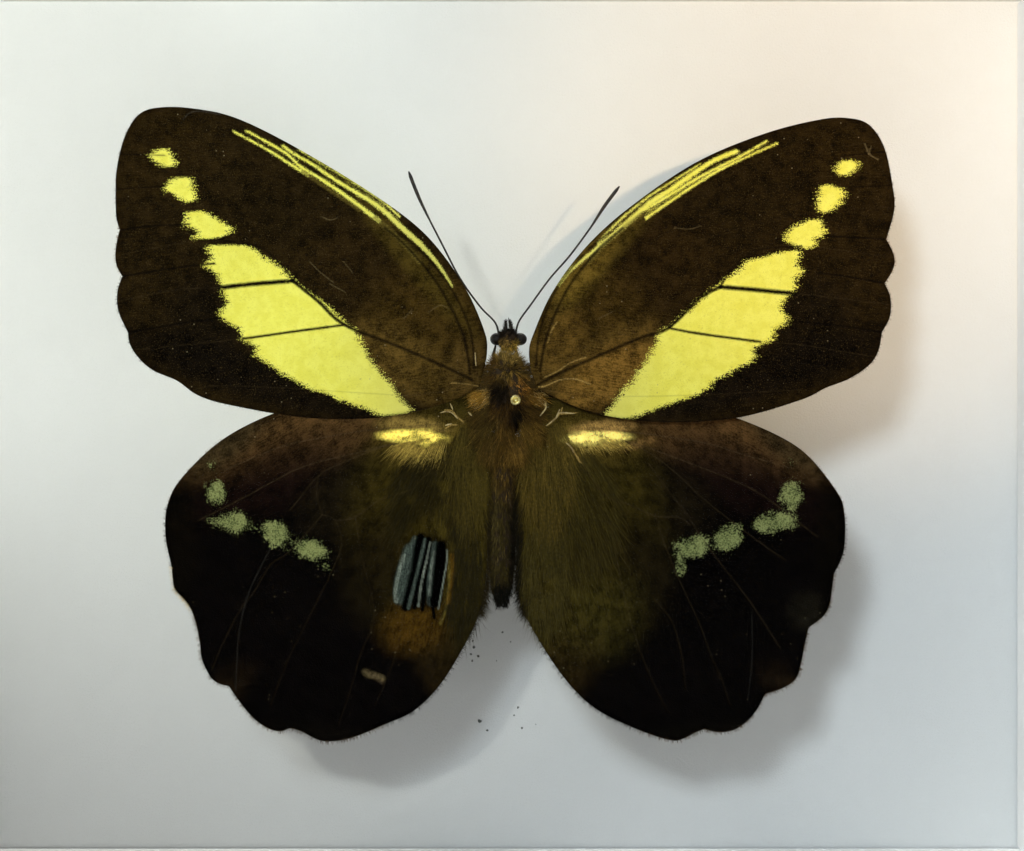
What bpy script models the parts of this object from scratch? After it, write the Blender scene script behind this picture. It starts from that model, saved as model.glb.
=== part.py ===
"""Framed butterfly specimen: a spread butterfly on its pin, in a glazed wooden box frame.

The frame is drawn lying on its back. X runs to the right, Y towards the specimen's head, and
Z out of the pinning board, whose white face is at Z = 0. The empty frame_upright then stands
it on its lower rail: the glass faces -Y, and the origin is in the middle of the bottom.
"""
import math

import bmesh
import bpy
from mathutils import Matrix

MM = 0.001

# The gap left between pieces that touch
GAP = 0.3 * MM

# The scale of the photograph, at the height of the wings
WINGSPAN = 96.0 * MM
WINGSPAN_PX = 776
MIDDLE_PX = (505, 425)

# The frame, from the white opening outwards
OPENING_W = 134.4 * MM
OPENING_H = 111.2 * MM
LINER_THICK = 3.5 * MM
LIP_WIDTH = 6.0 * MM
RAIL_WALL = 8.0 * MM
RAIL_EDGE_ROUND = 0.8 * MM

# The stack of layers along Z, from the board's face backwards and forwards
BOARD_THICK = 10.0 * MM
BACK_THICK = 2.5 * MM
BACK_RECESS = 3.3 * MM
LINER_HEIGHT = 31.0 * MM
GLASS_THICK = 2.0 * MM
LIP_THICK = 4.0 * MM

# The flat steel points that hold the back panel
TAB_WIDTH = 6.0 * MM
TAB_THICK = 0.6 * MM
TAB_REACH = 8.0 * MM
SLOT_DEPTH = 5.0 * MM
TAB_PLACES = {"top": (-40, 40), "bottom": (-40, 40), "left": (0,), "right": (0,)}

# The sawtooth hanger
HANGER_Y = 44.0 * MM
HANGER_HALF = 22.0 * MM
HANGER_FOOT = 8.0 * MM
HANGER_WIDTH = 10.0 * MM
HANGER_THICK = 0.8 * MM
HANGER_RISE = 1.0 * MM
HANGER_TEETH = 9
TOOTH_PITCH = 2.4 * MM
RIVET_SHANK = 1.3 * MM
RIVET_HEAD = 2.6 * MM

# The pin
PIN_AT = (1.28 * MM, 2.97 * MM)
PIN_RADIUS = 0.25 * MM
PIN_IN_BOARD = 9.0 * MM
PIN_TOP = 29.0 * MM
PIN_HEAD_RADIUS = 0.62 * MM

# The butterfly's body
THORAX_AT = (0.25 * MM, 4.1 * MM, 15.6 * MM)
THORAX_HALF = (2.85 * MM, 4.95 * MM, 3.25 * MM)
HEAD_AT = (0.43 * MM, 10.85 * MM, 15.2 * MM)
HEAD_HALF = (1.75 * MM, 1.5 * MM, 1.6 * MM)
EYE_RADIUS = 0.95 * MM
EYE_SPREAD = 1.75 * MM
PALP_LENGTH = 2.6 * MM
ABDOMEN_FRONT = (-0.2 * MM, -1.2 * MM, 14.6 * MM)
ABDOMEN_LENGTH = 21.3 * MM
ABDOMEN_RADIUS = 1.78 * MM
ABDOMEN_RINGS = 8
ABDOMEN_SWING = math.radians(-0.7)

# The wings
WING_THICK = 0.3 * MM
FOREWING_ROOT = 16.8 * MM
HINDWING_ROOT = 16.0 * MM
WING_RISE = 0.04
WAVE_HEIGHT = 0.3 * MM
WAVE_OUTWARD = 250.0
WAVE_FORWARD = 200.0
WAVE_START = 10.0 * MM
WING_GRID = 4.2 * MM
OUTLINE_STEP = 1.5 * MM

# Wing outlines in the photograph's pixels: smooth runs that meet at the margin's notches
FOREWING_LEFT = [
    [(483, 372), (487, 352), (484, 330), (463, 284), (425, 234), (370, 192), (300, 150),
     (240, 120), (200, 110), (165, 108), (141, 115), (126, 139), (118, 172), (117, 205),
     (118, 220), (121, 230)],
    [(121, 230), (118, 244), (117, 257), (119, 268), (124, 277)],
    [(124, 277), (120, 289), (119, 302), (122, 316), (130, 333)],
    [(130, 333), (132, 345), (141, 359), (155, 371), (178, 381), (200, 396), (235, 406),
     (310, 418), (385, 417), (445, 403), (479, 388)],
]
FOREWING_RIGHT = [
    [(531, 372), (529, 352), (533, 335), (552, 293), (585, 248), (630, 207), (695, 163),
     (765, 134), (820, 120), (848, 119), (868, 126), (883, 149), (891, 185), (893, 210),
     (885, 240)],
    [(885, 240), (891, 252), (893, 263), (890, 273), (883, 284)],
    [(883, 284), (888, 296), (889, 308), (887, 320), (880, 333)],
    [(880, 333), (877, 350), (868, 365), (848, 379), (825, 388), (800, 400), (735, 418),
     (660, 422), (595, 413), (548, 394), (536, 386)],
]
HINDWING_LEFT = [
    [(475, 400), (440, 404), (400, 402), (350, 402), (310, 406), (272, 414), (222, 440),
     (182, 478), (168, 505), (166, 535), (172, 567)],
    [(172, 567), (173, 580), (175, 590), (184, 600), (191, 610)],
    [(191, 610), (196, 625), (200, 646)],
    [(200, 646), (202, 660), (210, 676), (218, 683), (229, 686)],
    [(229, 686), (240, 702), (252, 717), (266, 728), (279, 732), (289, 729)],
    [(289, 729), (300, 732), (322, 742), (350, 739), (385, 725), (413, 712), (437, 689),
     (457, 659), (476, 622), (485, 585), (487, 540), (487, 490), (486, 455), (483, 432)],
]
HINDWING_RIGHT = [
    [(538, 402), (570, 408), (610, 412), (660, 411), (705, 412), (745, 421), (800, 449),
     (836, 491), (844, 514), (844, 545), (840, 561), (834, 573)],
    [(834, 573), (832, 590), (830, 604), (824, 616), (809, 628)],
    [(809, 628), (805, 645), (802, 660), (797, 677), (785, 687), (765, 694)],
    [(765, 694), (758, 708), (747, 722), (733, 731), (718, 733), (705, 730)],
    [(705, 730), (695, 734), (683, 740), (670, 741), (637, 730), (595, 709), (563, 677),
     (532, 629), (520, 600), (519, 560), (519, 500), (521, 455), (525, 435)],
]

# Antennae in the photograph's pixels, from the head to the club
ANTENNA_LEFT = [(495, 322), (480, 306), (460, 278), (440, 240), (420, 200), (408, 170)]
ANTENNA_RIGHT = [(519, 321), (531, 304), (550, 278), (570, 255), (590, 228), (605, 205), (620, 185)]
ANTENNA_HEIGHT = 15.9 * MM
ANTENNA_RADIUS = 0.14 * MM
ANTENNA_CLUB = 1.7
ANTENNA_STEP = 2.0 * MM

# Left legs in millimetres; a leg starts just under the thorax, at its first point's X and Y
LEGS = {
    "fore": [(-0.7, 7.2), (-1.5, 8.8, 11.6), (-1.2, 10.0, 12.3)],
    "mid": [(-0.9, 5.4), (-3.0, 6.4, 10.4), (-2.3, 3.6, 8.4), (-2.0, 1.4, 7.2)],
    "hind": [(-0.9, 2.6), (-2.8, 0.2, 10.6), (-1.9, -3.4, 9.2), (-1.6, -6.2, 8.4)],
}
LEG_RADIUS = 0.24 * MM
LEG_STEP = 1.2 * MM

# Colour, roughness and metallic value of each finish
FINISHES = {
    "walnut": ((0.16, 0.085, 0.045, 1), 0.45, 0.0),
    "clear_glass": ((0.9, 0.95, 0.95, 1), 0.05, 0.0),
    "white_card": ((0.82, 0.82, 0.80, 1), 0.8, 0.0),
    "white_foam": ((0.80, 0.81, 0.80, 1), 0.85, 0.0),
    "hardboard": ((0.23, 0.14, 0.08, 1), 0.75, 0.0),
    "zinc_steel": ((0.62, 0.62, 0.62, 1), 0.35, 1.0),
    "brassy_pin": ((0.62, 0.50, 0.22, 1), 0.3, 1.0),
    "brown_fur": ((0.07, 0.045, 0.025, 1), 0.9, 0.0),
    "dark_wing": ((0.045, 0.035, 0.022, 1), 0.8, 0.0),
    "black_horn": ((0.02, 0.016, 0.012, 1), 0.5, 0.0),
}

PX = WINGSPAN / WINGSPAN_PX

LINER_OUT_W = OPENING_W + 2 * LINER_THICK
LINER_OUT_H = OPENING_H + 2 * LINER_THICK
REBATE_W = LINER_OUT_W + 2 * GAP
REBATE_H = LINER_OUT_H + 2 * GAP
OUTER_W = REBATE_W + 2 * RAIL_WALL
OUTER_H = REBATE_H + 2 * RAIL_WALL
RAIL_FACE = RAIL_WALL + LIP_WIDTH

BACK_FRONT = -BOARD_THICK - GAP
BACK_REAR = BACK_FRONT - BACK_THICK
RAIL_REAR = BACK_REAR - BACK_RECESS
TAB_FRONT = BACK_REAR - GAP
GLASS_REAR = LINER_HEIGHT + GAP
GLASS_FRONT = GLASS_REAR + GLASS_THICK
LIP_REAR = GLASS_FRONT + GAP
RAIL_FRONT = LIP_REAR + LIP_THICK

# Each side of the frame: the turn that points its own +Y at the middle, and its outer face
SIDES = {
    "bottom": (0, (0, -OUTER_H / 2)),
    "right": (90, (OUTER_W / 2, 0)),
    "top": (180, (0, OUTER_H / 2)),
    "left": (270, (-OUTER_W / 2, 0)),
}


def clear_scene():
    for obj in list(bpy.data.objects):
        bpy.data.objects.remove(obj, do_unlink=True)


def new_collection(name):
    collection = bpy.data.collections.new(name)
    bpy.context.scene.collection.children.link(collection)
    return collection


def stand_up():
    """Return the empty that turns the lying frame upright."""
    empty = bpy.data.objects.new("frame_upright", None)
    empty.location = (0, (RAIL_FRONT + RAIL_REAR) / 2, OUTER_H / 2)
    empty.rotation_euler = (math.radians(90), 0, 0)
    PART.objects.link(empty)
    return empty


def material(name, finish):
    colour, roughness, metallic = FINISHES[finish]
    made = bpy.data.materials.new(name)
    made.use_nodes = True
    shader = made.node_tree.nodes["Principled BSDF"]
    shader.inputs["Base Color"].default_value = colour
    shader.inputs["Roughness"].default_value = roughness
    shader.inputs["Metallic"].default_value = metallic
    if finish == "clear_glass":
        shader.inputs["Transmission Weight"].default_value = 1.0
    return made


def add_piece(name, data, finish, location=(0, 0, 0), turn=0.0):
    """Link one named piece of the object, lying in the frame's own space."""
    data.name = name
    piece = bpy.data.objects.new(name, data)
    data.materials.append(material(name, finish))
    piece.location = location
    piece.rotation_euler.z = turn
    piece.parent = UPRIGHT
    PART.objects.link(piece)
    return piece


def add_cutter(name, mesh, location=(0, 0, 0), turn=0.0):
    cutter = bpy.data.objects.new(name, mesh)
    cutter.location = location
    cutter.rotation_euler.z = turn
    cutter.parent = UPRIGHT
    cutter.hide_render = True
    cutter.display_type = "WIRE"
    CUTTERS.objects.link(cutter)
    return cutter


def combine(piece, other, operation):
    boolean = piece.modifiers.new(other.name, "BOOLEAN")
    boolean.operation = operation
    boolean.solver = "EXACT"
    boolean.object = other


def mesh_from(bm, name):
    mesh = bpy.data.meshes.new(name)
    bm.to_mesh(mesh)
    bm.free()
    return mesh


def box(name, low, high):
    """A box between two opposite corners."""
    size = [b - a for a, b in zip(low, high)]
    middle = [(a + b) / 2 for a, b in zip(low, high)]
    bm = bmesh.new()
    bmesh.ops.create_cube(bm, size=1.0, matrix=Matrix.LocRotScale(middle, None, size))
    return mesh_from(bm, name)


def cylinder(name, radius, low, high, sides=16):
    """A round bar along Z, between two heights."""
    bm = bmesh.new()
    at = Matrix.Translation((0, 0, (low + high) / 2))
    bmesh.ops.create_cone(bm, cap_ends=True, segments=sides, radius1=radius, radius2=radius,
                          depth=high - low, matrix=at)
    return mesh_from(bm, name)


def ellipsoid(name, half, around, along):
    """A smooth egg with its poles along Y, around the origin."""
    bm = bmesh.new()
    lie_along_y = Matrix.Rotation(math.radians(90), 4, "X")
    stretch = Matrix.Diagonal((*half, 1))
    bmesh.ops.create_uvsphere(bm, u_segments=around, v_segments=along, radius=1.0,
                              matrix=stretch @ lie_along_y)
    mesh = mesh_from(bm, name)
    mesh.shade_smooth()
    return mesh


def turned(piece, steps):
    """Turn a profile about Z into a closed body."""
    screw = piece.modifiers.new("turn", "SCREW")
    screw.steps = steps
    screw.render_steps = steps
    screw.use_merge_vertices = True
    screw.merge_threshold = 0.00001
    screw.use_smooth_shade = True


def profile(name, points):
    """An open line of (radius, height) points, from top to bottom."""
    bm = bmesh.new()
    verts = [bm.verts.new((radius, 0, height)) for radius, height in points]
    for a, b in zip(verts, verts[1:]):
        bm.edges.new((a, b))
    return mesh_from(bm, name)


def smooth_run(points, step):
    """Points about a step apart on a smooth curve through the given points."""
    padded = [points[0], *points, points[-1]]
    run = [points[0]]
    for before, start, end, after in zip(padded, padded[1:], padded[2:], padded[3:]):
        count = max(1, round(math.dist(start, end) / step))
        for index in range(1, count + 1):
            t = index / count
            run.append(tuple(
                0.5 * (2 * b + (c - a) * t + (2 * a - 5 * b + 4 * c - d) * t * t
                       + (3 * b - a - 3 * c + d) * t ** 3)
                for a, b, c, d in zip(before, start, end, after)))
    return run


def from_photo(point):
    """The place on the frame of a pixel of the photograph."""
    return ((point[0] - MIDDLE_PX[0]) * PX, (MIDDLE_PX[1] - point[1]) * PX)


def outline(runs):
    """A closed outline whose smooth runs meet at sharp notches."""
    points = []
    for run in runs:
        points += smooth_run([from_photo(point) for point in run], OUTLINE_STEP)[:-1]
    points.append(from_photo(runs[-1][-1]))
    return points


def flat_curve(name, points, half_thick):
    """A flat outline, filled and given a thickness."""
    curve = bpy.data.curves.new(name, "CURVE")
    curve.dimensions = "2D"
    curve.fill_mode = "BOTH"
    curve.extrude = half_thick
    spline = curve.splines.new("POLY")
    spline.points.add(len(points) - 1)
    for place, (x, y) in zip(spline.points, points):
        place.co = (x, y, 0, 1)
    spline.use_cyclic_u = True
    return curve


def curve_to_mesh(curve):
    """The curve's closed mesh, for pieces that are cut or that cut others."""
    holder = bpy.data.objects.new("holder", curve)
    bpy.context.scene.collection.objects.link(holder)
    evaluated = holder.evaluated_get(bpy.context.evaluated_depsgraph_get())
    mesh = bpy.data.meshes.new_from_object(evaluated)
    bpy.data.objects.remove(holder)
    bm = bmesh.new()
    bm.from_mesh(mesh)
    bmesh.ops.remove_doubles(bm, verts=bm.verts, dist=0.00001)
    bm.to_mesh(mesh)
    bm.free()
    return mesh


def tube(name, points, radius, end_growth):
    """A thin round limb whose last fifth swells or shrinks to end_growth times its radius."""
    curve = bpy.data.curves.new(name, "CURVE")
    curve.dimensions = "3D"
    curve.bevel_depth = radius
    curve.bevel_resolution = 2
    curve.use_fill_caps = True
    spline = curve.splines.new("POLY")
    spline.points.add(len(points) - 1)
    for index, (place, point) in enumerate(zip(spline.points, points)):
        along = index / (len(points) - 1)
        place.co = (*point, 1)
        place.radius = 1 + (end_growth - 1) * max(0.0, (along - 0.8) / 0.2)
    return curve


def add_rails():
    """Mitred rails, each a box whose inner edge is shorter, with a rebate cut behind its lip."""
    rebate = add_cutter("rebate_space", box(
        "rebate_space", (-REBATE_W / 2, -REBATE_H / 2, RAIL_REAR - 5 * MM),
        (REBATE_W / 2, REBATE_H / 2, LIP_REAR)))
    mitre_gap = GAP / 2 * math.sqrt(2)
    for side, (angle, middle) in SIDES.items():
        half = (OUTER_W if side in ("top", "bottom") else OUTER_H) / 2 - mitre_gap
        bm = bmesh.new()
        low_high = Matrix.LocRotScale((0, RAIL_FACE / 2, (RAIL_FRONT + RAIL_REAR) / 2), None,
                                      (2 * half, RAIL_FACE, RAIL_FRONT - RAIL_REAR))
        bmesh.ops.create_cube(bm, size=1.0, matrix=low_high)
        for vert in bm.verts:
            if vert.co.y > RAIL_FACE / 2:
                vert.co.x -= math.copysign(RAIL_FACE, vert.co.x)
        weights = bm.edges.layers.float.new("bevel_weight_edge")
        for edge in bm.edges:
            a, b = edge.verts
            lengthwise = abs(a.co.x - b.co.x) > half
            edge[weights] = 1.0 if lengthwise else 0.0
        rail = add_piece("rail_" + side, mesh_from(bm, "rail_" + side), "walnut",
                         (*middle, 0), math.radians(angle))
        rounding = rail.modifiers.new("rounded_edges", "BEVEL")
        rounding.limit_method = "WEIGHT"
        rounding.width = RAIL_EDGE_ROUND
        rounding.segments = 3
        combine(rail, rebate, "DIFFERENCE")
        add_tabs(rail, side)


def add_tabs(rail, side):
    """The steel points that one rail holds, each in its slot in the rail's wall."""
    angle, middle = SIDES[side]
    turn = math.radians(angle)
    half = TAB_WIDTH / 2
    slot_floor = RAIL_WALL - SLOT_DEPTH
    root = slot_floor + GAP
    tip = RAIL_WALL + TAB_REACH
    shoulder = tip - half
    for number, place in enumerate(TAB_PLACES[side], start=1):
        name = f"back_tab_{side}_{number}"
        along = place * MM
        slot = box(name + "_slot", (along - half - GAP, slot_floor, TAB_FRONT - TAB_THICK - GAP),
                   (along + half + GAP, RAIL_WALL + 1 * MM, TAB_FRONT + GAP))
        combine(rail, add_cutter(name + "_slot", slot, (*middle, 0), turn), "DIFFERENCE")
        point = [(along - half, root), (along + half, root), (along + half, shoulder),
                 (along, tip), (along - half, shoulder)]
        plate = curve_to_mesh(flat_curve(name, point, TAB_THICK / 2))
        add_piece(name, plate, "zinc_steel", (*middle, TAB_FRONT - TAB_THICK / 2), turn)


def add_layers():
    """The glass, the white spacer strips, the pinning board and the hardboard back."""
    half_w = LINER_OUT_W / 2
    half_h = LINER_OUT_H / 2
    add_piece("glass_pane", box("glass_pane", (-half_w, -half_h, GLASS_REAR),
                                (half_w, half_h, GLASS_FRONT)), "clear_glass")
    for side, sign in (("top", 1), ("bottom", -1)):
        inner = sign * OPENING_H / 2
        outer = sign * half_h
        strip = box("liner_" + side, (-half_w, min(inner, outer), GAP),
                    (half_w, max(inner, outer), LINER_HEIGHT))
        add_piece("liner_" + side, strip, "white_card")
    side_half = OPENING_H / 2 - GAP
    for side, sign in (("right", 1), ("left", -1)):
        inner = sign * OPENING_W / 2
        outer = sign * half_w
        strip = box("liner_" + side, (min(inner, outer), -side_half, GAP),
                    (max(inner, outer), side_half, LINER_HEIGHT))
        add_piece("liner_" + side, strip, "white_card")
    board = add_piece("pinning_board", box("pinning_board", (-half_w, -half_h, -BOARD_THICK),
                                           (half_w, half_h, 0)), "white_foam")
    pin_hole = cylinder("pin_hole", PIN_RADIUS + GAP, -PIN_IN_BOARD - GAP, 1 * MM)
    combine(board, add_cutter("pin_hole", pin_hole, (*PIN_AT, 0)), "DIFFERENCE")
    back = add_piece("back_panel", box("back_panel", (-half_w, -half_h, BACK_REAR),
                                       (half_w, half_h, BACK_FRONT)), "hardboard")
    add_hanger(back)


def add_hanger(back):
    """A sawtooth hanger that stands off the back panel between its two riveted feet."""
    foot_front = BACK_REAR - GAP
    foot_rear = foot_front - HANGER_THICK
    foot_end = HANGER_HALF - HANGER_FOOT
    bar_end = foot_end - 2 * HANGER_RISE
    right = [(foot_end, 0), (HANGER_HALF, 0), (HANGER_HALF, HANGER_THICK),
             (foot_end, HANGER_THICK), (bar_end, HANGER_THICK + HANGER_RISE)]
    left = [(-x, y) for x, y in reversed(right)]
    under = [(-bar_end, HANGER_RISE), (bar_end, HANGER_RISE)]
    side_view = [*right, *left, *under]
    bar = curve_to_mesh(flat_curve("hanger", side_view, HANGER_WIDTH / 2))
    bar.transform(Matrix.Rotation(math.radians(90), 4, "X"))
    bar.transform(Matrix.Scale(-1, 4, (0, 0, 1)))
    bar.flip_normals()
    hanger = add_piece("hanger", bar, "zinc_steel", (0, HANGER_Y, foot_front))
    bm = bmesh.new()
    for tooth in range(HANGER_TEETH):
        x = (tooth - (HANGER_TEETH - 1) / 2) * TOOTH_PITCH
        bmesh.ops.create_cone(bm, cap_ends=True, segments=4, radius1=0.45 * TOOTH_PITCH,
                              radius2=0.45 * TOOTH_PITCH, depth=20 * MM,
                              matrix=Matrix.Translation((x, -HANGER_WIDTH / 2, 0)))
    teeth = add_cutter("hanger_teeth", mesh_from(bm, "hanger_teeth"), (0, HANGER_Y, foot_front))
    combine(hanger, teeth, "DIFFERENCE")
    for side, sign in (("left", -1), ("right", 1)):
        at = (sign * (HANGER_HALF - HANGER_FOOT / 2), HANGER_Y)
        name = "hanger_rivet_" + side
        hole = add_cutter(name + "_hole", cylinder(
            name + "_hole", RIVET_SHANK + GAP, foot_rear - 1 * MM, BACK_FRONT + 0.1 * MM), (*at, 0))
        combine(hanger, hole, "DIFFERENCE")
        combine(back, hole, "DIFFERENCE")
        seat = foot_rear - GAP
        rivet_top = BACK_FRONT - GAP
        rivet = add_piece(name, profile(name, [
            (0, rivet_top), (RIVET_SHANK, rivet_top), (RIVET_SHANK, seat), (RIVET_HEAD, seat),
            (0.8 * RIVET_HEAD, seat - 0.5 * MM), (0.4 * RIVET_HEAD, seat - 0.8 * MM),
            (0, seat - 0.9 * MM)]), "zinc_steel", (*at, 0))
        turned(rivet, 16)


def add_pin():
    """The insect pin: a point, a long shank and a small rounded head with a dimple."""
    head = PIN_HEAD_RADIUS
    shape = [(0, PIN_TOP - 0.2 * MM), (0.3 * head, PIN_TOP - 0.15 * MM), (0.55 * head, PIN_TOP),
             (0.85 * head, PIN_TOP - 0.1 * MM), (head, PIN_TOP - 0.4 * MM),
             (0.85 * head, PIN_TOP - 0.75 * MM), (PIN_RADIUS, PIN_TOP - 0.85 * MM),
             (PIN_RADIUS, 2 * MM - PIN_IN_BOARD), (0, -PIN_IN_BOARD)]
    turned(add_piece("pin", profile("pin", shape), "brassy_pin", (*PIN_AT, 0)), 16)


def add_body():
    """The head with its eyes and palps, the pinned thorax and the ringed abdomen."""
    head = add_piece("head", ellipsoid("head", HEAD_HALF, 16, 12), "black_horn", HEAD_AT)
    for side, sign in (("left", -1), ("right", 1)):
        eye = ellipsoid("eye_" + side, (EYE_RADIUS,) * 3, 12, 8)
        at = (HEAD_AT[0] + sign * EYE_SPREAD, HEAD_AT[1] - 0.1 * MM, HEAD_AT[2])
        combine(head, add_cutter("eye_" + side, eye, at), "UNION")
        bm = bmesh.new()
        forward = Matrix.Rotation(math.radians(-90), 4, "X")
        bmesh.ops.create_cone(bm, cap_ends=True, segments=8, radius1=0.5 * MM, radius2=0.12 * MM,
                              depth=PALP_LENGTH, matrix=forward)
        at = (HEAD_AT[0] + sign * 0.45 * MM, HEAD_AT[1] + PALP_LENGTH / 2, HEAD_AT[2] - 0.5 * MM)
        combine(head, add_cutter("palp_" + side, mesh_from(bm, "palp_" + side), at), "UNION")

    thorax = add_piece("thorax", ellipsoid("thorax", THORAX_HALF, 20, 16), "brown_fur", THORAX_AT)
    channel = cylinder("pin_channel", PIN_RADIUS + GAP, 5 * MM, 25 * MM)
    combine(thorax, add_cutter("pin_channel", channel, (*PIN_AT, 0)), "DIFFERENCE")

    abdomen = add_piece("abdomen", profile("abdomen", abdomen_profile()), "brown_fur", ABDOMEN_FRONT)
    abdomen.rotation_euler = (math.radians(-90), 0, ABDOMEN_SWING)
    turned(abdomen, 16)


def abdomen_profile():
    """Radius along the abdomen, from its front to its tip, drawn in between its rings."""
    count = 3 * ABDOMEN_RINGS
    points = []
    for index in range(count + 1):
        along = index / count
        body = ABDOMEN_RADIUS * min(1.0, 0.55 + 3.2 * along) * math.sqrt(max(0.0, 1 - along ** 5))
        groove = 0.05 if index % 3 == 0 else 0.0
        points.append((body * (1 - groove) if 0 < index < count else 0.0, -along * ABDOMEN_LENGTH))
    return points


def wing_height(root, x, y):
    """Height of a wing's middle surface: it rises outwards, with one shallow wave."""
    out = abs(x)
    wave = math.sin(WAVE_OUTWARD * out + WAVE_FORWARD * y) * min(1.0, out / WAVE_START)
    return root + WING_RISE * (out - 3 * MM) + WAVE_HEIGHT * wave


def add_wing(name, runs, root):
    """A waved sheet, given its thickness and trimmed to the wing's outline."""
    trim = outline(runs)
    low = [min(point[axis] for point in trim) - 1 * MM for axis in (0, 1)]
    high = [max(point[axis] for point in trim) + 1 * MM for axis in (0, 1)]
    cells = [math.ceil((b - a) / WING_GRID) for a, b in zip(low, high)]
    middle = [(a + b) / 2 for a, b in zip(low, high)]
    half = [(b - a) / 2 for a, b in zip(low, high)]
    bm = bmesh.new()
    bmesh.ops.create_grid(bm, x_segments=cells[0], y_segments=cells[1], size=1.0,
                          matrix=Matrix.LocRotScale((*middle, 0), None, (*half, 1)))
    bmesh.ops.triangulate(bm, faces=bm.faces)
    for vert in bm.verts:
        vert.co.z = wing_height(root, vert.co.x, vert.co.y)
    wing = add_piece(name, mesh_from(bm, name), "dark_wing")
    thickness = wing.modifiers.new("membrane", "SOLIDIFY")
    thickness.thickness = WING_THICK
    thickness.offset = 0.0
    trimmer = curve_to_mesh(flat_curve(name + "_outline", trim, 10 * MM))
    combine(wing, add_cutter(name + "_outline", trimmer, (0, 0, root)), "INTERSECT")


def add_antenna(name, route):
    points = smooth_run([from_photo(point) for point in route], ANTENNA_STEP)
    add_piece(name, tube(name, [(x, y, ANTENNA_HEIGHT) for x, y in points], ANTENNA_RADIUS,
                         ANTENNA_CLUB), "black_horn")


def under_thorax(x, y):
    """Height at which a leg's axis clears the thorax."""
    across = (x - THORAX_AT[0]) / THORAX_HALF[0]
    along = (y - THORAX_AT[1]) / THORAX_HALF[1]
    drop = THORAX_HALF[2] * math.sqrt(1 - across ** 2 - along ** 2)
    return THORAX_AT[2] - drop - 1.5 * LEG_RADIUS - GAP


def add_legs():
    """Three folded pairs; the first pair is short, as in brush-footed butterflies."""
    for pair, route in LEGS.items():
        for side, sign in (("left", 1), ("right", -1)):
            points = [(sign * x * MM, y * MM, z * MM) for x, y, z in route[1:]]
            x, y = sign * route[0][0] * MM, route[0][1] * MM
            points.insert(0, (x, y, under_thorax(x, y)))
            name = f"leg_{pair}_{side}"
            add_piece(name, tube(name, smooth_run(points, LEG_STEP), LEG_RADIUS, 0.5), "black_horn")


clear_scene()
PART = new_collection("framed_butterfly_specimen")
CUTTERS = new_collection("cutters")
UPRIGHT = stand_up()

add_rails()
add_layers()
add_pin()
add_body()
add_wing("forewing_left", FOREWING_LEFT, FOREWING_ROOT)
add_wing("forewing_right", FOREWING_RIGHT, FOREWING_ROOT)
add_wing("hindwing_left", HINDWING_LEFT, HINDWING_ROOT)
add_wing("hindwing_right", HINDWING_RIGHT, HINDWING_ROOT)
add_antenna("antenna_left", ANTENNA_LEFT)
add_antenna("antenna_right", ANTENNA_RIGHT)
add_legs()
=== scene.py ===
"""The looks of the framed butterfly: wings, fur, pin, wood, card and glass round the frame."""
import math

import bpy
import numpy as np
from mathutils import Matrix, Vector
from mathutils.geometry import delaunay_2d_cdt


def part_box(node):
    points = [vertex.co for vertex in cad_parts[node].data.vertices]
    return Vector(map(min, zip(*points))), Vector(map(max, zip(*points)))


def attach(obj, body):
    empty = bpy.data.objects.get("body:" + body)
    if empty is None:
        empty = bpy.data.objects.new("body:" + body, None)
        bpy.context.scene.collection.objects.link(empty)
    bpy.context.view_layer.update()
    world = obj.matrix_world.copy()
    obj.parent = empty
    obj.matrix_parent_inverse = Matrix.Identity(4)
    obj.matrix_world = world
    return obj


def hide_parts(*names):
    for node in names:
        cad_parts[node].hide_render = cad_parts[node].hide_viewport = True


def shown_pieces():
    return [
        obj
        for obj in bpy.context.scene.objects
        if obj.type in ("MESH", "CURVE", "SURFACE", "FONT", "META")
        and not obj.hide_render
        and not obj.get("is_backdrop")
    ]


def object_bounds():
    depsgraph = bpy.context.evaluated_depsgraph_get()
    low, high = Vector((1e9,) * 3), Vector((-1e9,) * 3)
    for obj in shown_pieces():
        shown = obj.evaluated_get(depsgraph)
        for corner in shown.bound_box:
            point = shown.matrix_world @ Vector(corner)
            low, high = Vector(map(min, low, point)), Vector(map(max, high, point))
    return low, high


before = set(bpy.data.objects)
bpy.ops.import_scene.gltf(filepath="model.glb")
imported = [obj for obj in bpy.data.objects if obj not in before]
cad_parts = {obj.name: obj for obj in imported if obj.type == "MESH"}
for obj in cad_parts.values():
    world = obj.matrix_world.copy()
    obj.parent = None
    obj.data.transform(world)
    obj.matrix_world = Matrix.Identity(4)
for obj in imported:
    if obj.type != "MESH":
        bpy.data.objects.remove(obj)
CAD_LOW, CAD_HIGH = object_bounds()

MM = 0.001
rng = np.random.default_rng(7)
scene = bpy.context.scene

# The lying space of the specimen in millimetres: x to the right, y to the head, z off the board
BOARD_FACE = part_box("pinning_board")[0][1]
MIDDLE_HEIGHT = (CAD_LOW[2] + CAD_HIGH[2]) / 2

# The scale of the photograph, at the height of the wings
WINGSPAN = 96.0
WINGSPAN_PX = 776
MIDDLE_PX = (505, 425)
PX = WINGSPAN / WINGSPAN_PX
WING_LEVEL = 17.5

# The camera
CAMERA_PX = (512, 425.5)
CAMERA_DISTANCE = 280.0
IMAGE_WIDTH = 1024
SENSOR = 36.0

# The wings, as the frame has them
FOREWING_ROOT = 16.8
HINDWING_ROOT = 16.0
WING_RISE = 0.04
WAVE_HEIGHT = 0.3
WAVE_OUTWARD = 0.25
WAVE_FORWARD = 0.2
WAVE_START = 10.0
MEMBRANE = 0.12
WING_CELL = 0.5
EDGE_STEP = 0.3
LINE_STEP = 0.3

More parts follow.
